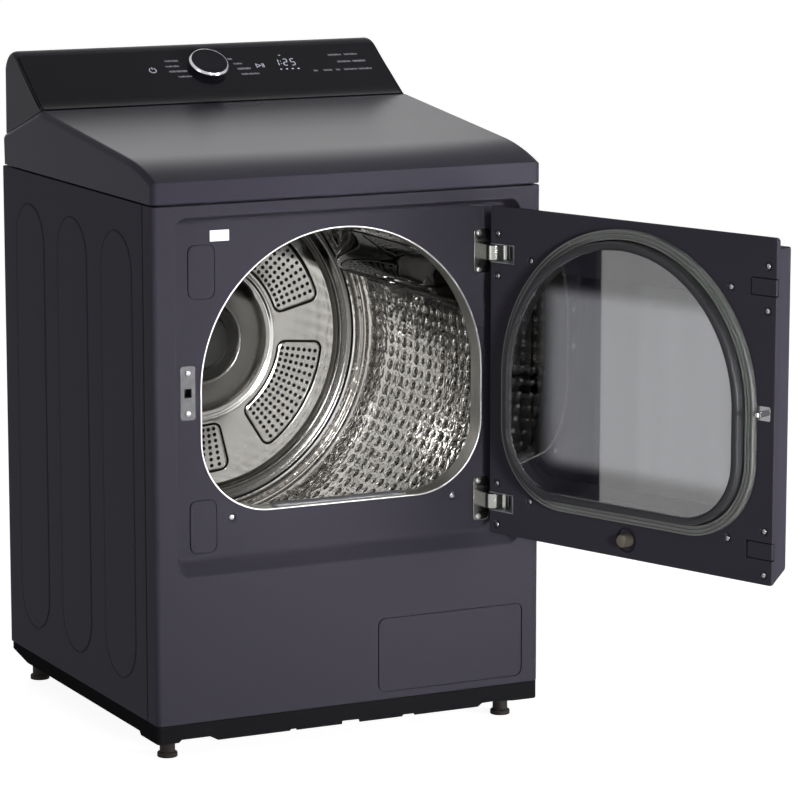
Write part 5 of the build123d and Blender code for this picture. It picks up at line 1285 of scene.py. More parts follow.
    def side_sheet(self, side: float, word: str) -> Piece:
        """Side sheet with folded edges and three long raised pads.

        Args:
            side: -1 for left, 1 for right.
            word: the side's name.

        Returns:
            The piece.
        """
        blank, datum = Blank(), beside(side, self.half)
        start = self.wrap + 3.2
        sheet = RoundedBox((start + self.back) / 2, (self.foot + self.top) / 2, self.back - start,
                           self.top - self.foot, 2.4)
        blank.loft(sheet, datum, ((-13.0, -11.5), (-1.6, -11.5), (0.0, -10.0), (0.0, -1.6), (-0.5, -0.5),
                                  (-1.6, 0.0)))
        wide, tall, proud = self.emboss
        first, pitch, low = self.emboss_places
        pads = [RoundedBox(self.back - first - pitch * n, self.foot + low + tall / 2, wide, tall, wide / 2,
                           24) for n in range(3)]
        blank.plate(datum, 0.0, [sheet.points(-1.6)] + [pad.points(2.6) for pad in pads])
        for pad in pads:
            blank.pressed(pad, datum, ((2.6, 0.0), (1.8, -0.3), (0.6, -1.5), (-0.2, -1.6), (-1.0, -0.6),
                                       (-1.8, proud * 0.7), (-2.6, proud)))
        return blank.piece("side_sheet_" + word, PAINT, word + "_side_panel", wall=1.0, outward=X * side)

    def lid_row(self, x: float, inset: float) -> Ring:
        """The lid's section at one place along its width.

        Args:
            x: place along the width.
            inset: how far the section is drawn in.

        Returns:
            The points, from the front's lower edge over the top to the back.
        """
        slope = (self.peak[1] - self.curve_end[1]) / (self.peak[0] - self.curve_end[0])
        curve = tangent_arc(self.curve_end, (-1.0, -slope), (self.front, self.crease), 14)[::-1]
        rim, (peak_y, peak_z), (rear_y, rear_z) = self.lid_z + self.lid_rim, self.peak, self.lid_rear
        line: list[Point] = [(self.front, rim), (self.front, self.crease - 1.2)]
        line += [(self.front + 0.35, self.crease + 0.1)] + curve[1:]
        line += [(peak_y - 9.0, peak_z - 1.0), self.peak, (peak_y + 9.0, peak_z - 2.8)]
        line += [(rear_y - 5.0, rear_z + 1.6), (rear_y, rear_z - 3.4)]
        made = [(y + inset * ny, z + inset * nz) for (y, z), (ny, nz) in zip(line, normals(line))]
        wall = self.front + inset
        clear = next(n for n in range(2, len(made)) if made[n][0] > wall)
        (y0, z0), (y1, z1) = made[clear - 1], made[clear]
        meet = z0 + (z1 - z0) * (wall - y0) / (y1 - y0)
        made[:clear] = [(wall, rim)] + [(wall, meet)] * (clear - 1)
        made = [(wall + self.lid_rim, self.lid_z)] + made + [(rear_y - inset, self.lid_z)]
        return [Vector((x, y, z)) for y, z in made]

    def lid(self) -> Piece:
        """Lid with its waterfall front and rounded ends.

        Returns:
            The piece.
        """
        turns = [math.radians(a) for a in (90, 67, 45, 22, 0)]
        ends = [(self.half - self.lid_round * (1 - math.sin(a)), self.lid_round * (1 - math.cos(a)))
                for a in turns]
        blank = Blank().skin(both_ends(self.lid_row, ends), caps=True)
        skirt = RoundedBox(0, (self.front + self.back) / 2, 2 * self.half - 32.0,
                           self.back - self.front - 32.0, 4.0)
        blank.loft(skirt, level(self.top), ((0.0, -10.0), (0.0, 4.0), (-3.0, 4.0), (-3.0, -10.0)), wrap=True)
        return blank.piece("lid", LID_PAINT, "top_panel")

    def plinth_row(self, grow: float, z: Optional[float], lift: float) -> Ring:
        """One ring of the base's skirt.

        Args:
            grow: distance outside the base.
            z: height, or none to follow the lower edge.
            lift: height over that.

        Returns:
            The points.
        """
        low, deep, raised = self.plinth_low
        zone, past = self.plinth_corner
        half_x, half_y = self.plinth_half
        corners = RoundedBox(0, (self.front + self.back) / 2, 2 * half_x, 2 * half_y, 8.0).points(grow)
        made: list[Triple] = []
        for (x, y), (x2, y2) in zip(corners, corners[1:] + corners[:1]):
            made.append((x, y, deep if y < 0 else raised))
            run = math.hypot(x2 - x, y2 - y)
            if x2 - x > 200.0:
                made += [(edge_x, y, edge_z) for edge_x, edge_z in self.plinth_edge]
            elif run > 200.0:
                ux, uy = (x2 - x) / run, (y2 - y) / run
                for start, dx, dy, sign in ((zone, x, y, 1), (past, x, y, 1), (past, x2, y2, -1),
                                            (zone, x2, y2, -1)):
                    made.append((dx + sign * ux * start, dy + sign * uy * start,
                                 deep if start == zone and dy < 0 else low))
        return [Vector((x, y, (edge if z is None else z) + lift)) for x, y, edge in made]

    def plinth(self) -> Piece:
        """Black base with deeper corners."""
        rings = [self.plinth_row(*row) for row in self.plinth_rows]
        return Blank().skin(rings, caps=True).piece("plinth", BASE, "base_pan")

    def back_sheet(self) -> Piece:
        """Rear panel with louvre slots, exhaust hole and folded edges.

        Returns:
            The piece.
        """
        blank, datum = Blank(), upright(self.back + 1.2, 1.0)
        sheet = RoundedBox(0, (self.foot + self.top) / 2, 2 * self.half - 6.0, self.top - self.foot, 2.0)
        blank.loft(sheet, datum, ((0.0, -1.2), (0.0, -0.5), (-0.3, -0.12), (-0.8, 0.0)))
        holes: list[Outline] = [EXHAUST, self.cord_hole]
        holes += [replace(self.louvre, x=side * self.louvre.x, y=self.louvre.y + self.louvre_pitch * n)
                  for side in (-1, 1) for n in range(-3, 4)]
        blank.plate(datum, 0.0, [sheet.points(-0.8)] + [hole.points(0.6) for hole in holes])
        for hole in holes:
            blank.loft(hole, datum, ((0.6, 0.0), (0.15, -0.15), (0.0, -0.6), (0.0, -2.0)))
        return blank.piece("back_sheet", ZINC, "rear_panel", wall=0.9, outward=Y)


@dataclass
class Console:
    """The sloping control console on the lid with its dial and printed marks."""

    half: float = 336.0
    foot: Point = (145.0, 1005.0)
    foot_under: float = 1001.2
    flare: Point = (165.0, 1014.8)
    angle: float = 35.0
    length: float = 119.6
    top: Point = (281.0, 1091.0)
    rear: Point = (312.0, 1058.0)
    rear_foot: float = 949.0
    middle: Point = (245.0, 1030.0)
    end_round: float = 3.0
    slot_half: float = 332.7
    slot_depth: float = 3.4
    fascia_half: float = 331.4
    fascia_thick: float = 2.8
    corner: float = 12.0
    corner_rows: tuple[float, ...] = (7.6, 5.8, 4.0, 2.0, 0.0)
    dial_up: float = 72.0
    dial_line: Path = (
        (0.0, 1.0), (28.6, 1.0), (29.7, 1.3), (30.2, 2.2), (31.4, 4.4), (33.6, 7.2), (34.7, 8.4), (35.0, 9.2),
        (34.8, 9.9), (32.9, 12.8), (32.5, 13.25), (32.1, 13.4), (31.8, 13.2), (31.7, 12.8), (31.7, 11.8),
        (0.0, 11.8))
    face_line: Path = (
        (0.0, 11.9), (31.4, 11.9), (31.4, 12.6), (31.0, 12.95), (30.4, 13.05), (20.0, 12.9), (0.0, 12.8))
    ink: Point = (0.02, 0.12)
    stroke_widths: tuple[float, ...] = (1.0, 1.5, 1.2, 1.6, 1.1)
    stroke_heights: tuple[float, ...] = (4.6, 3.4, 3.5, 3.4)
    stroke_pitch: float = 2.1
    digits: tuple[tuple[str, float], ...] = (("bc", 131.0), ("abged", 147.5), ("afgcd", 161.5))
    digits_up: float = 76.0
    lit_bars: tuple[Bar, ...] = (
        (139.6, 79.5, 1.4, 1.4), (139.0, 72.5, 1.4, 1.4), (133.0, 58.0, 3.6, 2.2), (144.0, 58.0, 3.6, 2.2),
        (155.0, 58.0, 3.6, 2.2), (166.0, 58.0, 3.6, 2.2), (143.0, 95.0, 4.0, 1.2), (101.6, 70.0, 1.0, 10.0),
        (104.4, 70.0, 1.0, 10.0), (-103.0, 74.0, 1.1, 6.0))
    power: Point = (-103.0, 69.0)
    start: Point = (90.0, 70.0)
    start_sign: Path = ((0, -5.4), (9.2, 0), (0, 5.4), (0, -5.2), (0.9, -3.7), (0.9, 3.8), (7.4, 0),
                        (0.9, -3.8))
    legend_rows: tuple[tuple[int, int, int], ...] = (
        (-61, 91, 3), (-64, 77, 3), (-58, 63, 4), (-50, 49, 3), (48, 90, 1), (58, 77, 2), (65, 63, 3),
        (72, 49, 4), (196, 50, 1), (219, 50, 2), (239, 50, 1), (263, 50, 3), (291, 50, 3), (247, 90, 3),
        (278, 90, 3), (258, 71, 3), (287, 71, 3))

    def build(self) -> list[Piece]:
        """Make and dress the console, its fascia, marks and dial.

        Returns:
            The pieces in order.
        """
        return [self.housing(), self.fascia(), self.legends(), self.display(),
                self.turned("dial_skirt", KNOB, self.dial_line, "selector_knob"),
                self.turned("dial_face", KNOB_FACE, self.face_line)]

    def heading(self) -> Point:
        """The way up the fascia's slope, in depth and height."""
        return math.cos(math.radians(self.angle)), math.sin(math.radians(self.angle))

    def slope(self, up: float, height: float) -> Point:
        """A point up the fascia's slope from the flare, at a height over its face, in depth and height."""
        c, s = self.heading()
        return self.flare[0] + up * c - height * s, self.flare[1] + up * s + height * c

    def datum(self, up: float) -> Datum:
        """The fascia's plane with its origin some way up the slope."""
        (c, s), origin = self.heading(), Vector((0, *self.slope(up, 0.0)))
        return Datum(origin, X, Vector((0, c, s)), Vector((0, -s, c)))

    def seat(self, drop: float, short: float) -> list[Point]:
        """The fascia's section from its flared foot up, some way under its face.

        Args:
            drop: how far under the face.
            short: how far its top end falls short of the slope's.

        Returns:
            The points, in depth and height.
        """
        c, s = self.heading()
        end = (self.foot[0] + drop * 0.3, self.foot[1] - drop * 0.95)
        made = tangent_arc(self.slope(0.0, -drop), (-c, -s), end, 8)[::-1]
        return made + [self.slope(self.length * n / 4 - short * (n == 4), -drop) for n in range(1, 5)]

    def dip(self, x: float) -> float:
        """How far the rounded upper corners draw the section down the slope."""
        past = max(0.0, abs(x) - self.half + self.corner)
        return self.corner - math.sqrt(max(0.0, self.corner ** 2 - past ** 2))

    def housing_row(self, x: float, inset: float, drop: float) -> Ring:
        """The housing's section at one place along its width.

        Args:
            x: place along the width.
            inset: how far the whole section is drawn in.
            drop: how far the fascia's seat lies under the fascia's face.

        Returns:
            The points.
        """
        (c, s), dip, seat = self.heading(), self.dip(x), self.seat(drop, self.dip(x))
        over = tangent_arc(self.slope(self.length, 0.0), (c, s), self.top, 6)
        back = tangent_arc(self.rear, (0.0, 1.0), self.top, 8)[-2::-1]
        crown = [(p, dip) for p in over]
        crown += [(p, dip * (1 - (n + 1) / len(back))) for n, p in enumerate(back)]
        line = [(seat[0][0], self.foot_under)] + seat + [(y - d * c, z - d * s) for (y, z), d in crown]
        line += [(self.rear[0], self.rear_foot)]
        made = []
        for (y, z), (ny, nz) in zip(line, normals(line, True)):
            inward = 1 if (self.middle[0] - y) * ny + (self.middle[1] - z) * nz >= 0 else -1
            made.append(Vector((x, y + inset * inward * ny, z + inset * inward * nz)))
        return made

    def fascia_row(self, x: float, inset: float) -> Ring:
        """The fascia's section at one place along the width, with its face drawn in."""
        face, under = (self.seat(deep, 0.5 + self.dip(x)) for deep in (inset, self.fascia_thick))
        return [Vector((x, y, z)) for y, z in face + under[::-1]]

    def housing(self) -> Piece:
        """End caps, top, back and the sunk seat for the fascia.

        Returns:
            The piece.
        """
        turns, r = [math.radians(a) for a in (90, 60, 30, 0)], self.end_round
        ends = [(self.half - r * (1 - math.sin(a)), r * (1 - math.cos(a)), 0.0) for a in turns]
        ends += [(self.slot_half + 0.1, 0.0, 0.1), (self.slot_half, 0.0, 0.6),
                 (self.slot_half, 0.0, self.slot_depth)]
        ends += [(self.half - self.corner + past, 0.0, self.slot_depth) for past in self.corner_rows]
        return Blank().skin(both_ends(self.housing_row, ends), caps=True).piece(
            "console_shell", CONSOLE, "console_housing")

    def fascia(self) -> Piece:
        """Gloss fascia with its flared foot.

        Returns:
            The piece.
        """
        ends = [(self.fascia_half - x, inset)
                for x, inset in ((0.0, 0.9), (0.25, 0.35), (0.9, 0.05), (1.6, 0.0))]
        ends += [(self.half - self.corner + past, 0.0) for past in self.corner_rows[2:]]
        return Blank().skin(both_ends(self.fascia_row, ends), caps=True).piece(
            "fascia_sheet", FASCIA, "console_fascia")

    def bars(self, rows: Sequence[Bar]) -> Blank:
        """Thin printed bars.

        Args:
            rows: centre across, place up the slope, width and height of each.

        Returns:
            The mesh.
        """
        blank, datum = Blank(), self.datum(0.0)
        for x, up, w, h in rows:
            blank.loft(RoundedBox(x, up, w, h, min(w, h) * 0.3, 2), datum, [(0.0, z) for z in self.ink],
                       caps=True)
        return blank

    def legends(self) -> Piece:
        """Rows of dashes where the programme and option legends stand.

        Returns:
            The piece.
        """
        rows: list[Bar] = []
        for x, up, words in self.legend_rows:
            count = words * 4
            for n in range(count):
                wide = self.stroke_widths[n * (up % 7 + 2) % 5]
                tall = self.stroke_heights[n * (up % 5 + 1) % 4]
                across = x + (n - (count - 1) / 2) * self.stroke_pitch
                rows.append((across, up + tall / 2 - 1.5, wide, tall))
        return self.bars(rows).piece("fascia_legends", MARKS)

    def display(self) -> Piece:
        """Lit marks: the time left in segments, the power and start signs and four lamps.

        Returns:
            The piece.
        """
        thick, long = (5.6, 1.3), (1.3, 6.6)
        parts = {"a": (0, 8.4, *thick), "d": (0, -8.4, *thick), "g": (0, 0, *thick), "b": (3.5, 4.2, *long),
                 "c": (3.5, -4.2, *long), "e": (-3.5, -4.2, *long), "f": (-3.5, 4.2, *long)}
        lit: list[Bar] = []
        for segments, x in self.digits:
            for dx, dy, w, h in (parts[segment] for segment in segments):
                lit.append((x + dx + dy * 0.1, self.digits_up + dy, w, h))
        blank, datum = self.bars([*lit, *self.lit_bars]), self.datum(0.0)
        power = arc(*self.power, 6.6, 118, 304, 28) + arc(*self.power, 5.5, 118, 304, 28)[::-1]
        start = [(self.start[0] + x, self.start[1] + y) for x, y in self.start_sign]
        for sign in (power, start):
            blank.skin([[datum.at(p, h) for p in sign] for h in self.ink], caps=True)
        return blank.piece("fascia_lit_marks", LIT)

    def turned(self, name: str, finish: Finish, line: Path, node: str = "") -> Piece:
        """A piece of the dial, turned about its axis."""
        blank = Blank().loft(Round(steps=96), self.datum(self.dial_up), line)
        return blank.piece(name, finish, node, "knob")


@dataclass
class LoadingMouth:
    """The opening's steel lining, the recess fittings, hinge arms and lint filter."""

    bulkhead: float = -277.8
    sheet: float = 1.5
    filter_mid: float = -292.0
    filter_half: float = 109.0
    filter_deep: float = 166.0
    slot: Point = (226.0, 20.0)
    sill: float = 395.5
    leaf_away: float = 28.0
    window_tall: float = 138.0
    latch_box: RoundedBox = RoundedBox(*LATCH_PLACE, 26.0, 87.0, 5.0)
    label_box: RoundedBox = RoundedBox(-216.0, 841.5, 33.0, 17.6, 0.6, 3)
    leaf: Triple = (28.0, 72.0, 6.0)
    knuckle: Path = ((3.1, -11.4), (3.7, -12.0), (5.7, -12.0), (6.5, -11.2), (6.5, 11.2), (5.7, 12.0),
                     (3.7, 12.0), (3.1, 11.4))
    strap: RoundedBox = RoundedBox(0, 0, 4.0, 24.0, 0.9, 3)
    bend: float = 13.0

    def build(self) -> list[Piece]:
        """Make and dress the mouth's pieces."""
        return [self.lining(), self.latch(), self.blanks(), self.label(), self.hinge_arms(),
                self.lint_frame(), self.lint_ribs()]

    def lining(self) -> Piece:
        """Steel lining with a rolled bead and the filter's slot in its sill.

        Returns:
            The piece.
        """
        datum, back, inner = upright(RECESS_FLOOR), RECESS_FLOOR - self.bulkhead, -self.sheet
        bead = ((0.3, -1.4), (0.9, 0.0), (1.1, 0.3), (1.0, 0.6), (0.7, 0.8), (0.0, 0.85), (-0.8, 0.75),
                (-1.3, 0.4), (inner, -0.4))
        inside, outside = len(bead) - 1, len(bead) + 1
        profile = bead + ((inner, back), (0.0, back), (0.0, -1.4))
        rows = [[datum.at(p, h) for p in Mouth().points(g)] for g, h in profile]
        edge = rows[0]
        flat = next(n for n in range(len(edge)) if abs(edge[n].z - edge[n + 1].z) < 1e-6
                    and (edge[n] - edge[n + 1]).length > 100)
        blank = Blank().skin(rows, wrap=True, gaps=((inside, flat), (outside, flat)))
        slot = RoundedBox(0, self.filter_mid, *self.slot, 2.0)
        for z, n, ahead in ((self.sill, inside, -0.4), (self.sill - self.sheet, outside, -1.4)):
            x0, x1 = rows[n][flat].x, rows[n][flat + 1].x
            y0, y1 = RECESS_FLOOR - ahead, self.bulkhead
            blank.plate(level(z), 0.0, [[(x0, y0), (x1, y0), (x1, y1), (x0, y1)], slot.points()])
        blank.loft(slot, level(self.sill), ((0.0, 0.0), (0.0, -self.sheet)))
        return blank.piece("mouth_lining", TRIM, "opening_trim")

    def latch(self) -> Piece:
        """Latch plate with its slot.

        Returns:
            The piece.
        """
        blank, datum = Blank(), upright(RECESS_FLOOR)
        blank.loft(self.latch_box, datum, ((0.0, 0.0), (0.0, 0.7), (-0.15, 1.05), (-0.6, 1.2)))
        blank.plate(datum, 1.2, [self.latch_box.points(-0.6), LATCH_HOLE.points(0.5)])
        blank.loft(LATCH_HOLE, datum, ((0.5, 1.2), (0.1, 1.05), (0.0, 0.6), (0.0, -3.0)))
        return blank.piece("latch_face", LATCH, "latch_plate", wall=0.4, outward=-Y)

    def blanks(self) -> Piece:
        """Two blanking plates over the unused hinge places.

        Returns:
            The piece.
        """
        blank = Blank()
        for box in HINGE_BLANKS:
            blank.loft(box, upright(RECESS_FLOOR), ((6.0, -3.4), (6.0, -2.6), (0.0, -2.6), (0.0, 0.35),
                                                    (-0.25, 0.8), (-0.9, 1.0)), caps=True)
        return blank.piece("hinge_blanks", PAINT, "blanking_plates")

    def label(self) -> Piece:
        """Blank label."""
        return Blank().loft(self.label_box, upright(RECESS_FLOOR), (
            (0.0, 0.0), (0.0, 0.3), (-0.15, 0.4)), caps=True).piece("label_blank", LABEL, "label_plate")

    def hinge_arms(self) -> Piece:
        """Leaves on the recess floor with curved strap arms and knuckles.

        Returns:
            The piece.
        """
        blank = Blank()
        px, py = PIVOT
        ax, bend = px - self.leaf_away, self.bend
        path = [(ax, RECESS_FLOOR - 0.5), (ax, py + bend)] + arc(ax + bend, py + bend, bend, 180, 90, 8)[1:]
        path += [(px - 5.0, py)]
        for z in HINGE_HEIGHTS:
            blank.loft(RoundedBox(ax, z, *self.leaf), upright(RECESS_FLOOR), (
                (0.0, 0.0), (0.0, 1.7), (-0.3, 2.3), (-0.9, 2.5)), caps=True)
            rows = [[Vector((x + nx * p, y + ny * p, z + q)) for p, q in self.strap.points()]
                    for (x, y), (nx, ny) in zip(path, normals(path))]
            blank.skin(rows, caps=True)
            blank.loft(Round(px, py, 0.0, 28), level(z), self.knuckle, wrap=True)
        return blank.piece("hinge_arms", HINGE, "hinge_brackets")

    def lint_frame(self) -> Piece:
        """Lint filter: grip flange over a frame with three mesh windows.

        Returns:
            The piece.
        """
        top, low = self.sill + 0.3, self.sill - self.filter_deep
        blank = Blank().loft(RoundedBox(0, self.filter_mid, self.slot[0] + 10, self.slot[1] + 3, 6.0),
                             level(top), (
                                 (-9.0, 0.0), (0.0, 0.0), (0.0, 1.6), (-0.5, 2.3), (-1.6, 2.6)), caps=True)
        wide = 2 * self.filter_half / 3 - 2.0
        windows = [RoundedBox(wide * n, self.sill - self.filter_deep / 2, wide - 8.0, self.window_tall, 5.0)
                   for n in (-1, 0, 1)]
        box = RoundedBox(0, (top + low) / 2, 2 * self.filter_half, top - low, 2.0)
        for out in (-1.0, 1.0):
            datum = upright(self.filter_mid + out * 7.0, out)
            blank.loft(box, datum, ((0.0, -7.0), (0.0, -0.8), (-0.8, 0.0)))
            blank.plate(datum, 0.0, [box.points(-0.8)] + [w.points(0.6) for w in windows])
            for window in windows:
                blank.pressed(window, datum, ((0.6, 0.0), (0.0, -0.6), (0.0, -6.4)))
        return blank.piece("lint_filter_frame", FILTER, "lint_filter", "filter")

    def lint_ribs(self) -> Piece:
        """Grip ribs on the filter's flange.

        Returns:
            The piece.
        """
        turn = Matrix.Translation((0, self.filter_mid, self.sill + 2.8))
        return RibJig().run("lint_filter_ribs", start_mesh(), FILTER, {
            "Count": 27, "Pitch": 8.0, "Length": 17.0, "Width": 3.2, "Height": 0.9}, body="filter", turn=turn)


@dataclass
class DrumUnit:
    """The drum with its dimpled wall, lifters, seals and the vented rear wall behind it."""

    axis: float = 575.0
    radius: float = 312.0
    front: float = -269.0
    back: float = 259.0
    wall: float = 271.0
    disc: float = 262.0
    dome: float = 131.0
    facets: int = 120
    plate: RoundedBox = RoundedBox(0, 474.85, 683.6, 817.3, 1.0, 2)
    front_ring: Bar = (302.2, 311.5, -265.0, -253.0)
    rear_ring: Bar = (268.0, 291.4, 264.0, 277.0)
    pad: Point = (152.0, 236.0)
    pad_first: float = 41.0
    pad_span: float = 53.0
    vent_rays: int = 13
    vent_step: float = 3.7
    lifter_first: float = 28.0
    lifter_half: float = 56.0
    lifter_tall: float = 47.0
    lifter_ends: Point = (-237.0, 247.0)
    stations: tuple[float, ...] = (0.0, 0.01, 0.03, 0.06, 0.1, 0.15, 0.22, 0.32, 0.45, 0.6, 0.72, 0.82, 0.89,
                                   0.94, 0.97, 0.99, 1.0)
    lip: Path = (
        (0.0, -26.0), (-1.2, -21.0), (-3.6, -18.4), (-6.2, -18.6), (-7.6, -16.0), (-8.0, -9.0), (-9.0, -7.0),
        (-10.4, -7.6), (-11.6, -10.4), (-13.4, -11.0), (-15.0, -9.4), (-15.8, -4.0), (-17.0, -2.2),
        (-19.4, -1.6), (-20.0, -0.8), (-19.4, 0.0), (1.0, 0.0))
    hub_line: Path = (
        (0.0, 6.4), (68.6, 6.4), (69.6, 7.6), (68.8, 8.4), (66.0, 8.8), (53.0, 8.6), (51.4, 9.0),
        (50.2, 10.2), (48.6, 11.0), (46.0, 11.2), (20.0, 10.4), (0.0, 10.0))
    backing_line: Path = ((144.0, -9.0), (246.0, -9.0), (246.0, -10.0), (144.0, -10.0))
    retainer_line: Path = (
        (266.4, 269.0), (266.4, 261.6), (267.2, 260.4), (268.8, 259.8), (270.6, 260.4), (272.0, 262.0),
        (274.0, 262.8), (280.0, 262.6), (284.0, 261.6), (286.4, 259.8), (288.0, 259.2), (289.6, 259.6),
        (290.4, 261.0), (290.4, 269.0))
    hem: Path = ((1.0, 4.0), (4.2, 4.0), (5.0, 3.0), (5.0, 1.0), (4.0, 0.0), (1.0, 0.0))

    def build(self) -> list[Piece]:
        """Make and dress the drum's pieces.

        Returns:
            The pieces in order.
        """
        return [self.tub(), self.dimples(), self.lifters(), self.rear_wall(), self.cone(), self.grooves(),
                self.hub_cap(), self.felt("front_felt", *self.front_ring),
                self.felt("rear_felt", *self.rear_ring), self.retainer(), self.vent_backing(),
                *(self.vents(n) for n in range(5))]

    def datum(self, depth: float) -> Datum:
        """A plane across the drum on its axis, facing the front."""
        return Datum(Vector((0, depth, self.axis)), X, Z, -Y)

    def ring(self, line: Sequence[Point], steps: int) -> Blank:
        """A closed ring turned about the drum's axis, from pairs of radius and depth."""
        return Blank().loft(Round(steps=steps), self.datum(0.0), [(r, -y) for r, y in line], wrap=True)

    def tub(self) -> Piece:
        """Drum wall with a rolled front edge and a beaded lip at the back.

        Returns:
            The piece.
        """
        line = [(self.radius, self.front + 1.0)] + [(self.radius + r, self.back + y) for r, y in self.lip]
        line += [(self.radius + r, self.front + y) for r, y in self.hem]
        return self.ring(line, 180).piece("drum_tub", DRUM, "drum_shell", "drum", sharp=50.0)

    def dimples(self) -> Piece:
        """Dimples over the drum wall.

        Returns:
            The piece.
        """
        return DimpleJig().run("drum_wall_dimples", start_mesh(), DRUM, {
            "Drum Radius": self.radius, "Axis Height": self.axis, "Rows": 86, "Columns": 20, "Start": -246.0,
            "Pitch": 24.4, "Dimple Radius": 10.8, "Dimple Height": 3.0, "Small Scale": 0.66,
            "First Lifter": math.radians(self.lifter_first), "Lifter Clearance": math.radians(11.5)},
            body="drum", sharp=60.0)

    def lifter_row(self, mid: float, t: float) -> Ring:
        """A lifter's section with a bead along its foot.

        Args:
            mid: the angle of its middle.
            t: place along its length, from 0 to 1.

        Returns:
            The points.
        """
        start, end = self.lifter_ends
        tall = self.lifter_tall * min(1.0, math.sin(min(t / 0.16, 1.0) * math.pi / 2) ** 0.8,
                                      math.sin(min((1 - t) / 0.1, 1.0) * math.pi / 2) ** 0.8)
        wide = self.lifter_half * (0.8 + 0.2 * math.sin(min(t, 1 - t, 0.2) / 0.2 * math.pi / 2))
        half = [(n / 12.0, 0.0) for n in range(12)]
        half += [(0.94, 0.6), (0.955, 2.2), (0.975, 2.6), (0.99, 1.6), (1.0, 0.0)]
        across = [(-u, bead) for u, bead in half[:0:-1]] + half
        line = [(u, 0.3 + bead + tall * (0.5 + 0.5 * math.cos(math.pi * u)) ** 0.8) for u, bead in across]
        line += [(u, 0.25) for u in (0.96, 0.5, 0.0, -0.5, -0.96)]
        turned = [(mid + u * wide / self.radius, self.radius - rise) for u, rise in line]
        return [Vector((r * math.cos(a), start + (end - start) * t, self.axis + r * math.sin(a)))
                for a, r in turned]

    def lifters(self) -> Piece:
        """Three smooth lifters with rounded ends, dark as a painted reflection.

        Returns:
            The piece.
        """
        blank = Blank()
        for n in range(3):
            mid = math.radians(self.lifter_first + 120.0 * n)
            blank.skin([self.lifter_row(mid, t) for t in self.stations], caps=True)
        return blank.piece("drum_lifter_fins", LIFTER, "drum_lifters", "drum", sharp=60.0)

    def pads(self) -> list[Sector]:
        """The five vent pads."""
        return [Sector(*self.pad, self.pad_first + 72.0 * n, self.pad_span, 14.0) for n in range(5)]

    def rear_wall(self) -> Piece:
        """Rear wall: square plate, pressed disc with a domed hub and five sunk pads.

        Returns:
            The piece.
        """
        blank, datum, d, disc = Blank(), self.datum(self.wall), self.dome, self.disc
        blank.loft(Round(steps=self.facets), datum,
                   ((d - 3.0, -1.6), (d + 1.0, -2.8), (d + 5.0, -2.8), (d + 7.5, -1.8), (d + 9.5, -0.4),
                    (d + 12.0, 0.0)))
        blank.loft(Round(steps=self.facets), datum,
                   ((disc - 4.0, 0.0), (disc - 2.0, -0.5), (disc, -3.0), (disc + 1.0, -5.6),
                    (disc + 3.0, -6.0)))
        blank.plate(datum, 0.0, [Round(0, 0, r, self.facets).points() for r in (disc - 4.0, d + 12.0)]
                    + [pad.points(3.0) for pad in self.pads()])
        for pad in self.pads():
            blank.loft(pad, datum, ((3.0, 0.0), (2.3, -0.4), (1.8, -1.6)))
            blank.loft(pad, datum, ((-2.4, -2.0), (-2.9, -1.0), (-4.2, -0.7)))
        box = replace(self.plate, y=self.plate.y - self.axis)
        exhaust = replace(EXHAUST, y=EXHAUST.y - self.axis)
        blank.plate(datum, -6.0, [box.points(), Round(0, 0, disc + 3.0, self.facets).points(),
                                  exhaust.points()])
        return blank.piece("drum_rear_wall", WALL, "rear_bulkhead", wall=1.2, outward=-Y, sharp=40.0)

    def cone(self) -> Piece:
        """The domed middle of the rear wall, in darker steel as painted shade.

        Returns:
            The piece.
        """
        d = self.dome
        profile = ((0.0, 6.0), (68.0, 6.0), (70.5, 8.4), (72.0, 10.4), (74.0, 11.0), (77.0, 10.8),
                   (d - 34.0, 9.6), (d - 22.0, 7.4), (d - 14.0, 4.6), (d - 8.0, 1.6), (d - 3.0, -1.6))
        return Blank().loft(Round(steps=self.facets), self.datum(self.wall), profile).piece(
            "rear_wall_cone", CONE_PAINTED_SHADE, wall=1.2, outward=-Y, sharp=40.0)

    def grooves(self) -> Piece:
        """Grooves round the vent pads, in dark steel as painted shade.

        Returns:
            The piece.
        """
        blank = Blank()
        for pad in self.pads():
            blank.loft(pad, self.datum(self.wall),
                       ((1.8, -1.5), (1.3, -3.4), (0.6, -4.4), (-1.2, -4.4), (-1.9, -3.4), (-2.4, -1.9)))
        # the grooves' dark steel is painted shade
        return blank.piece("vent_pad_grooves", PAINTED_SHADE_STEEL, wall=1.0, outward=-Y)

    def hub_cap(self) -> Piece:
        """Stepped cap in the middle of the rear wall, in dark steel as a painted dark reflection."""
        return Blank().loft(Round(steps=self.facets), self.datum(self.wall), self.hub_line).piece(
            "rear_hub_cap", PAINTED_SHADE_STEEL, sharp=40.0)

    def vent_backing(self) -> Piece:
        """Dark sheet a little behind the vent holes, as painted shade seen through them."""
        # painted shade behind the vent holes
        return Blank().loft(Round(steps=96), self.datum(self.wall), self.backing_line, wrap=True).piece(
            "vent_painted_shade_sheet", INNER)

    def retainer(self) -> Piece:
        """Stepped steel ring that holds the rear seal, in darker steel as painted shade."""
        return self.ring(self.retainer_line, 160).piece("rear_seal_ring", CONE_PAINTED_SHADE, sharp=50.0)

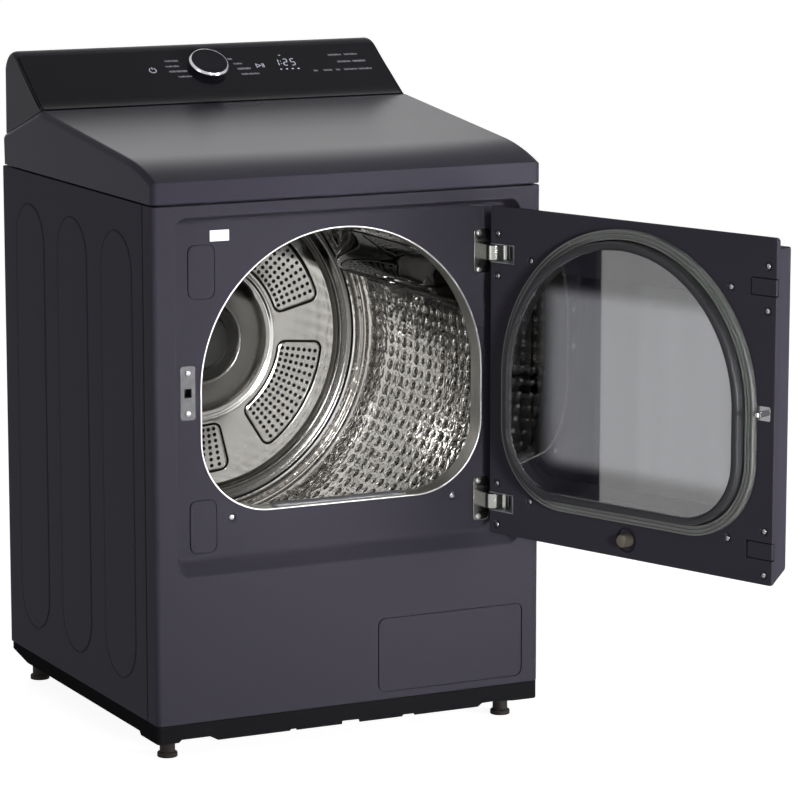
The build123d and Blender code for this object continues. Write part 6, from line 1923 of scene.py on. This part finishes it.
    def vents(self, n: int) -> Piece:
        """The perforated sheet of one pad.

        Args:
            n: the pad's number.

        Returns:
            The piece.
        """
        pad, step = self.pads()[n], math.radians(self.vent_step)
        edge = [Vector((x, y, 0.0)) for x, y in pad.points(-4.2)]
        start = start_mesh(edge, [(i, (i + 1) % len(edge)) for i in range(len(edge))])
        return VentJig().run("vent_sheet_%d" % (n + 1), start, WALL, {
            "Inner Radius": 161.0, "Radial Pitch": 10.8, "Rings": 7, "Rays": self.vent_rays, "Ray Step": step,
            "First Ray": math.radians(pad.mid) - step * (self.vent_rays - 1) / 2, "Hole Radius": 3.6,
            "Thickness": 1.0}, turn=self.datum(self.wall + 1.7).matrix())

    def felt(self, name: str, inner: float, outer: float, front: float, back: float) -> Piece:
        """A felt ring with soft edges.

        Args:
            name: the piece's name.
            inner: inner radius.
            outer: outer radius.
            front: depth of its front face.
            back: depth of its back face.

        Returns:
            The piece.
        """
        soft, step = 2.6, (0.7, 0.8)
        line = [(inner, back), (inner, front + soft), (inner + step[0], front + step[1]),
                (inner + soft, front), ((inner + outer) / 2, front), (outer - soft, front),
                (outer - step[0], front + step[1]), (outer, front + soft), (outer, back)]
        return self.ring(line, 120).piece(name, FELT, name + "_seal", sharp=60.0)


@dataclass
class Door:
    """The side-swing door, drawn closed and then swung open about its hinge."""

    open: float = 110.0
    half: float = 293.0
    low: float = 325.0
    high: float = 866.0
    inner: float = -325.0
    outer: float = -363.0
    tray: float = 8.0
    skin_top: float = 850.0
    skin_half: float = 292.2
    skin_round: float = 5.0
    bevel: float = 21.0
    pocket: Point = (7.7, 15.8)
    bumper: Point = (0.0, 355.0)
    cup_radius: float = 20.0
    hinge_notch: Point = (51.8, 31.6)
    spare_notch: Point = (50.0, 28.0)
    cover: Triple = (47.4, 25.4, 2.0)
    cover_in: float = 24.6
    spare_cover: Triple = (13.4, 24.4, 1.5)
    strike_plate: RoundedBox = RoundedBox(*LATCH_PLACE, 26.0, 23.0, 3.0)
    tongue: RoundedBox = RoundedBox(*LATCH_PLACE, 7.0, 9.0, 1.5)
    tongue_line: Path = (
        (0.0, 1.0), (0.0, 12.0), (-0.6, 12.6), (-0.6, 14.6), (0.0, 15.2), (0.0, 17.6), (-0.7, 19.4),
        (-1.6, 20.2))
    window: RoundedBox = RoundedBox(0.0, 595.0, 438.0, 310.0, 42.0, 10)
    frame_line: Path = (
        (-8.0, -2.8), (-8.0, 22.0), (-8.4, 24.6), (-9.6, 26.3), (-11.4, 27.0), (-16.2, 27.0), (-17.2, 26.6),
        (-17.7, 25.6), (-18.6, 25.0), (-20.0, 24.9), (-20.7, 24.5), (-21.0, 23.6), (-21.0, -2.8))
    clear_line: Path = ((-21.5, 19.0), (-21.05, 19.4), (-21.05, 22.6), (-21.5, 23.0))
    dark_line: Path = ((11.6, -36.0), (12.0, -35.6), (12.0, -32.4), (11.6, -32.0))
    bump_line: Path = (
        (0.0, -6.0), (11.0, -6.0), (11.0, 2.0), (10.6, 8.0), (10.4, 10.6), (9.6, 12.2), (8.2, 13.0),
        (0.0, 12.8))
    screw_places: Path = ((277.0, 821.5), (277.0, 752.5), (205.0, 783.0), (277.0, 409.5), (277.0, 340.5),
                                       (205.0, 388.5))

    def build(self) -> list[Piece]:
        """Make and dress the door's pieces.

        Returns:
            The pieces in order.
        """
        bumper = Round(*self.bumper, 0.0, 40)
        return [self.inner_sheet(), self.outer_sheet(), self.flange(),
                self.lofted(Mouth(), self.frame_line, "window_ring", FRAME, "window_frame", wrap=True),
                self.lofted(Mouth(), self.clear_line, "window_pane_inner", CLEAR, "door_glass", caps=True),
                self.lofted(self.window, self.dark_line, "window_pane_outer", GLASS, "door_glass", caps=True),
                self.seal(), self.strike(), self.covers(),
                self.lofted(bumper, self.bump_line, "door_bump_stop", BUMPER, "door_bumper"), self.screws()]

    def turn(self) -> Matrix:
        """The swing from closed to the open rest position, in millimetres."""
        place = Matrix.Translation((*PIVOT, 0))
        return place @ Matrix.Rotation(math.radians(self.open), 4, "Z") @ place.inverted()

    def hang(self, blank: Blank, name: str, finish: Finish, node: str = "", **sheet: Any) -> Piece:
        """Finish a mesh as a piece that swings with the door."""
        return blank.piece(name, finish, node, "door", turn=self.turn(), **sheet)

    def face(self) -> Datum:
        """The inner face, facing the drum when closed."""
        return upright(self.inner, 1.0)

    def inner_sheet(self) -> Piece:
        """Inner panel: tray with notches for the hinges, window hole and bumper cup.

        Returns:
            The piece.
        """
        blank, datum, window = Blank(), self.face(), Mouth()
        tray = NotchedBox(self.half, self.low, self.high, HINGE_HEIGHTS, self.hinge_notch, self.spare_notch)
        blank.loft(tray, datum, ((-9.0, -self.tray), (-1.4, -self.tray), (0.0, -self.tray + 1.4), (0.0, -1.6),
                                 (-0.5, -0.5), (-1.6, 0.0)))
        cup = Round(*self.bumper, self.cup_radius, 40)
        dips = [Round(side * x, z, 8.0, 20) for side in (-1, 1) for x, z in self.screw_places]
        blank.plate(datum, 0.0, [tray.points(-1.6), window.points(-6.5), cup.points(1.6)]
                    + [d.points() for d in dips])
        for dip in dips:
            blank.pressed(dip, datum, ((0.0, 0.0), (-0.4, -0.2), (-1.4, -1.8), (-2.4, -2.4)))
        blank.loft(window, datum, ((-6.5, 0.0), (-7.3, -0.3), (-7.7, -1.2), (-7.7, -4.0)))
        blank.pressed(cup, datum,
                      ((1.6, 0.0), (0.5, -0.5), (0.0, -1.6), (-0.6, -4.6), (-1.8, -5.8), (-3.4, -6.0)))
        return self.hang(blank, "door_inner_sheet", PAINT, "door_inner_panel", wall=1.0, outward=Y)

    def skin_row(self, x: float, inset: float) -> Ring:
        """The outer skin's section, drawn in near its ends.

        Args:
            x: place along the width.
            inset: how far it is drawn in.

        Returns:
            The points, from the lower edge round to the upper.
        """
        deep, low, high = self.inner - self.tray - self.outer, self.low + 1.0, self.skin_top
        foot, mid = self.low + self.bevel, (low + high) / 2
        line = [(deep, low), (5.0, foot - 3.3), (2.2, foot - 0.9), (0.6, foot + 2.0), (0.0, foot + 5.0),
                (0.0, high - 5.0), (0.5, high - 2.2), (2.2, high - 0.5), (5.0, high), (deep, high)]
        made = []
        for d, z in line:
            rise = inset if d > 4.0 else 0.0
            made.append(Vector((x, self.outer + d + (inset if d < 4.0 else inset * 0.4),
                                z + (rise if z < mid else -rise))))
        return made

    def outer_sheet(self) -> Piece:
        """Outer skin: rounded edges, bevelled foot, window hole and pockets for the hinge arms.

        Returns:
            The piece.
        """
        datum, back, r = upright(self.outer), self.inner - self.tray, self.skin_round
        ends = [(self.skin_half - x, inset) for x, inset in ((0.0, 4.0), (0.6, 2.0), (2.0, 0.6), (4.0, 0.0))]
        rows = both_ends(self.skin_row, ends)
        blank = Blank().skin(rows, closed=False, gaps=[(3, 4)])
        deepest, reach = self.outer + self.pocket[0], self.pocket[1]
        pockets = [Vector((self.skin_half, y, z + d)) for z in HINGE_HEIGHTS
                   for y, d in ((back, reach), (deepest, reach), (deepest, -reach), (back, -reach))]
        for end in (rows[0], rows[-1] + pockets):
            blank.bm.faces.new(blank.ring(end))
        flat, low, high = self.skin_half - 4.0, self.low + self.bevel + r, self.skin_top - r
        blank.plate(datum, 0.0,
                    [[(-flat, low), (flat, low), (flat, high), (-flat, high)], self.window.points(1.0)])
        blank.loft(self.window, datum, ((1.0, 0.0), (0.3, -0.3), (0.0, -1.0), (0.0, -1.8)))
        return self.hang(blank, "door_outer_sheet", PAINT, "door_outer_panel", wall=1.6, outward=-Y)

    def flange(self) -> Piece:
        """Flange of the outer skin behind the tray.

        Returns:
            The piece.
        """
        box = RoundedBox(0, (self.low + self.high) / 2, 2 * self.half - 1.6, self.high - self.low - 1.6, 6.0)
        blank = Blank().loft(box, upright(self.inner - self.tray), (
            (-12.0, 0.0), (0.0, 0.0), (0.0, 1.6), (-0.4, 2.0), (-12.0, 2.0)), wrap=True)
        return self.hang(blank, "door_skin_flange", PAINT)

    def lofted(self, outline: Outline, line: Path, name: str, finish: Finish, node: str,
               **ends: bool) -> Piece:
        """A piece of one loft off the inner face; ends as for Blank.loft."""
        return self.hang(Blank().loft(outline, self.face(), line, **ends), name, finish, node)

    def seal(self) -> Piece:
        """Ribbed gasket round the window.

        Returns:
            The piece.
        """
        rib = ((-2.1, 8.0), (-1.9, 9.6), (-1.1, 10.7), (0.0, 11.0), (1.1, 10.7), (1.9, 9.6), (2.1, 8.0))
        profile = ((-6.5, 0.0), *((mid + g, h) for mid in (-4.4, 1.75, 7.9) for g, h in rib), (10.0, 0.0))
        return self.lofted(Mouth(), profile, "door_seal", GASKET, "door_gasket", wrap=True)

    def strike(self) -> Piece:
        """Strike: plate and tongue with a rounded tip.

        Returns:
            The piece.
        """
        blank = Blank().loft(self.strike_plate, self.face(), (
            (0.0, 0.0), (0.0, 0.8), (-0.4, 1.2)), caps=True)
        blank.loft(self.tongue, self.face(), self.tongue_line, caps=True)
        return self.hang(blank, "door_strike_tongue", DOOR_SCREW, "door_strike")

    def covers(self) -> Piece:
        """Covers of the unused hinge pockets and the spare strike hole.

        Returns:
            The piece.
        """
        blank = Blank()
        for z in HINGE_HEIGHTS:
            blank.loft(RoundedBox(-self.half + self.cover_in, z, *self.cover), self.face(), (
                (0.0, -5.5), (0.0, -1.1), (-0.3, -0.6), (-0.9, -0.5)), caps=True)
        blank.loft(RoundedBox(-LATCH_PLACE[0], LATCH_PLACE[1], *self.spare_cover), self.face(), (
            (0.0, -5.5), (0.0, 0.0), (-0.3, 0.3), (-0.8, 0.4)), caps=True)
        return self.hang(blank, "door_hole_covers", PAINT, "door_blanking_covers")

    def screws(self) -> Piece:
        """Screws round the inner panel.

        Returns:
            The piece.
        """
        points = [(Vector((side * x, self.inner - 2.4, z)), Y) for side in (-1, 1)
                  for x, z in self.screw_places]
        return ScrewJig().run("door_screw_heads", spots(points), DOOR_SCREW, {"Radius": 4.4, "Height": 3.0},
                              "door_screws", "door", self.turn())


@dataclass
class Fixings:
    """Levelling feet and the cabinet's screws."""

    foot: Point = (302.5, 283.0)
    foot_line: Path = (
        (0.0, 0.6), (12.0, 0.6), (12.6, 0.0), (16.0, 0.0), (16.5, 0.7), (16.5, 2.6), (16.1, 3.0), (16.1, 3.6),
        (16.5, 4.0), (16.5, 5.6), (15.9, 7.2), (14.4, 8.0), (13.0, 8.4), (12.5, 9.4), (12.5, 35.2),
        (11.8, 36.0), (5.0, 36.0), (5.0, 55.8), (0.0, 56.0))
    rear: float = 314.2
    latch_screws: Point = (561.1, 625.9)
    leaf_x: float = 244.0
    leaf_away: float = 30.0
    rear_x: float = 331.0
    rear_screws: Bar = (114.9, 339.6, 589.2, 838.8)

    def build(self) -> list[Piece]:
        """Make and dress the feet and screws."""
        return [self.screws()] + [self.pad(sx, sy) for sy in (-1, 1) for sx in (-1, 1)]

    def pad(self, sx: int, sy: int) -> Piece:
        """Rubber foot with a ribbed pad and a neck.

        Args:
            sx: -1 for left, 1 for right.
            sy: -1 for front, 1 for rear.

        Returns:
            The piece.
        """
        name = "foot_%s_%s" % ("front" if sy < 0 else "rear", "left" if sx < 0 else "right")
        foot = Round(sx * self.foot[0], sy * self.foot[1], 0.0, 36)
        blank = Blank().loft(foot, level(0.0), self.foot_line)
        return blank.piece(name + "_pad", RUBBER, name, name + "_body")

    def screws(self) -> Piece:
        """Screws of the latch, the hinge leaves, the lining and the rear panel.

        Returns:
            The piece.
        """
        points = [(Vector((LATCH_PLACE[0], RECESS_FLOOR - 1.2, z)), -Y) for z in self.latch_screws]
        points += [(Vector((self.leaf_x, RECESS_FLOOR - 2.5, z + d)), -Y) for z in HINGE_HEIGHTS
                   for d in (-self.leaf_away, self.leaf_away)]
        points += [(Vector((x, RECESS_FLOOR + 2.6, z)), -Y) for x, z in TRIM_SCREWS]
        points += [(Vector((side * self.rear_x, self.rear, z)), Y) for side in (-1, 1)
                   for z in self.rear_screws]
        return ScrewJig().run("cabinet_screw_heads", spots(points), SCREW, {"Radius": 4.6, "Height": 2.4},
                              "panel_screws")


@dataclass
class InnerWorks:
    """CAD nodes that stay: drive, heater, ducts and wiring, each in its own finish."""

    finishes: dict[str, Finish] = field(default_factory=lambda: {f.slot: f for f in FINISHES})

    def dress(self) -> None:
        """Give every CAD node the finish of its slot."""
        for row in frame["record"]["subparts"]:
            node = frame["nodes"][row["node"]]
            node.data.materials.clear()
            node.data.materials.append(self.finishes[row["material_slot"]].material())
            log.info("%s is dressed as %s", row["node"], row["material_slot"])


@dataclass
class Studio:
    """Camera, lamps, white surround and pale floor."""

    eye: Triple = (-2.5971, -5.7316, 1.6261)
    azimuth: float = 26.465
    fall: float = 10.044
    lens: float = 170.49
    sensor: float = 36.0
    fill: float = 0.22
    floor_reach: float = 40.0
    floor_drop: float = -0.0004
    floor_glow: float = 1.82

    def build(self) -> None:
        """Set the stage."""
        self.camera()
        self.surround()
        self.floor()
        self.lamp("key_softbox", (2.5, -3.9, 0.6), (0.0, 0.0, 0.5), 1.0, 160.0)
        self.lamp("eye_softbox", (-0.1, -5.0, 1.1), (0.08, -0.2, 0.58), 0.8, 2.6, 18.0)
        self.lamp("side_softbox", (-4.0, -1.6, 1.0), (0.0, 0.0, 0.5), 1.6, 26.0)
        self.lamp("top_softbox", (1.7, 3.6, 2.8), (0.0, 0.0, 0.95), 1.5, 19.0)
        bpy.context.scene.view_settings.view_transform = "Standard"

    def aim(self, made: bpy.types.Object, place: Triple, look: Vector) -> None:
        """Stand a camera or lamp somewhere and point it."""
        made.location = place
        made.rotation_euler = look.to_track_quat("-Z", "Y").to_euler()

    def camera(self) -> None:
        """Camera at the photograph's viewpoint."""
        data = bpy.data.cameras.new("viewpoint")
        data.lens, data.sensor_width, data.clip_end = self.lens, self.sensor, 200.0
        made = staged("viewpoint", data)
        a, e = math.radians(self.azimuth), math.radians(self.fall)
        self.aim(made, self.eye, Vector((math.sin(a) * math.cos(e), math.cos(a) * math.cos(e), -math.sin(e))))
        bpy.context.scene.camera = made

    def lamp(self, name: str, place: Triple, target: Triple, size: float, power: float,
             spread: float = 180.0) -> None:
        """A square softbox.

        Args:
            name: the lamp's name.
            place: where it stands.
            target: where it points.
            size: its side.
            power: its power in watts.
            spread: the angle that its light fills, in degrees.
        """
        data = bpy.data.lights.new(name, "AREA")
        data.size, data.energy, data.spread = size, power, math.radians(spread)
        self.aim(staged(name, data), place, Vector(target) - Vector(place))

    def surround(self) -> None:
        """White surround for the camera, mirrors and glass, softer as light."""
        world = bpy.data.worlds.new("surround")
        bpy.context.scene.world = world
        bench = emptied(world)
        light, white = (bench.node("ShaderNodeBackground", {"Color": (1, 1, 1, 1), "Strength": strength})
                        for strength in (self.fill, 1.0))
        bench.node("ShaderNodeOutputWorld", {
            "Surface": bench.node("ShaderNodeMixShader", {0: bench.seen(), 1: light, 2: white})})

    def floor(self) -> None:
        """Wide pale floor that takes the shadow."""
        reach, drop = self.floor_reach, self.floor_drop
        mesh = bpy.data.meshes.new("studio_floor")
        mesh.from_pydata([(-reach, -reach, drop), (reach, -reach, drop), (reach, reach, drop),
                          (-reach, reach, drop)], [], [(0, 1, 2, 3)])
        paper = bpy.data.materials.new("floor_paper")
        bench = emptied(paper)
        tone = bench.mix(bench.noise(bench.place(), 3.0), (0.88, 0.88, 0.88, 1.0), (0.9, 0.9, 0.9, 1.0))
        matt = bench.node("ShaderNodeBsdfDiffuse", {"Color": tone})
        glow = bench.node("ShaderNodeEmission", {"Color": (1, 1, 1, 1), "Strength": self.floor_glow})
        bench.node("ShaderNodeOutputMaterial", {
            "Surface": bench.node("ShaderNodeMixShader", {0: bench.seen() * 0.5, 1: matt, 2: glow})})
        mesh.materials.append(paper)
        made = staged("studio_floor", mesh)


def main() -> None:
    """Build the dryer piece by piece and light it."""
    logging.basicConfig(level=logging.INFO, format="%(message)s")
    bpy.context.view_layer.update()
    InnerWorks().dress()
    for unit in (Cabinet(), Console(), LoadingMouth(), DrumUnit(), Door(), Fixings()):
        for piece in unit.build():
            piece.mount()
    Studio().build()


if __name__ == "__main__":
    main()
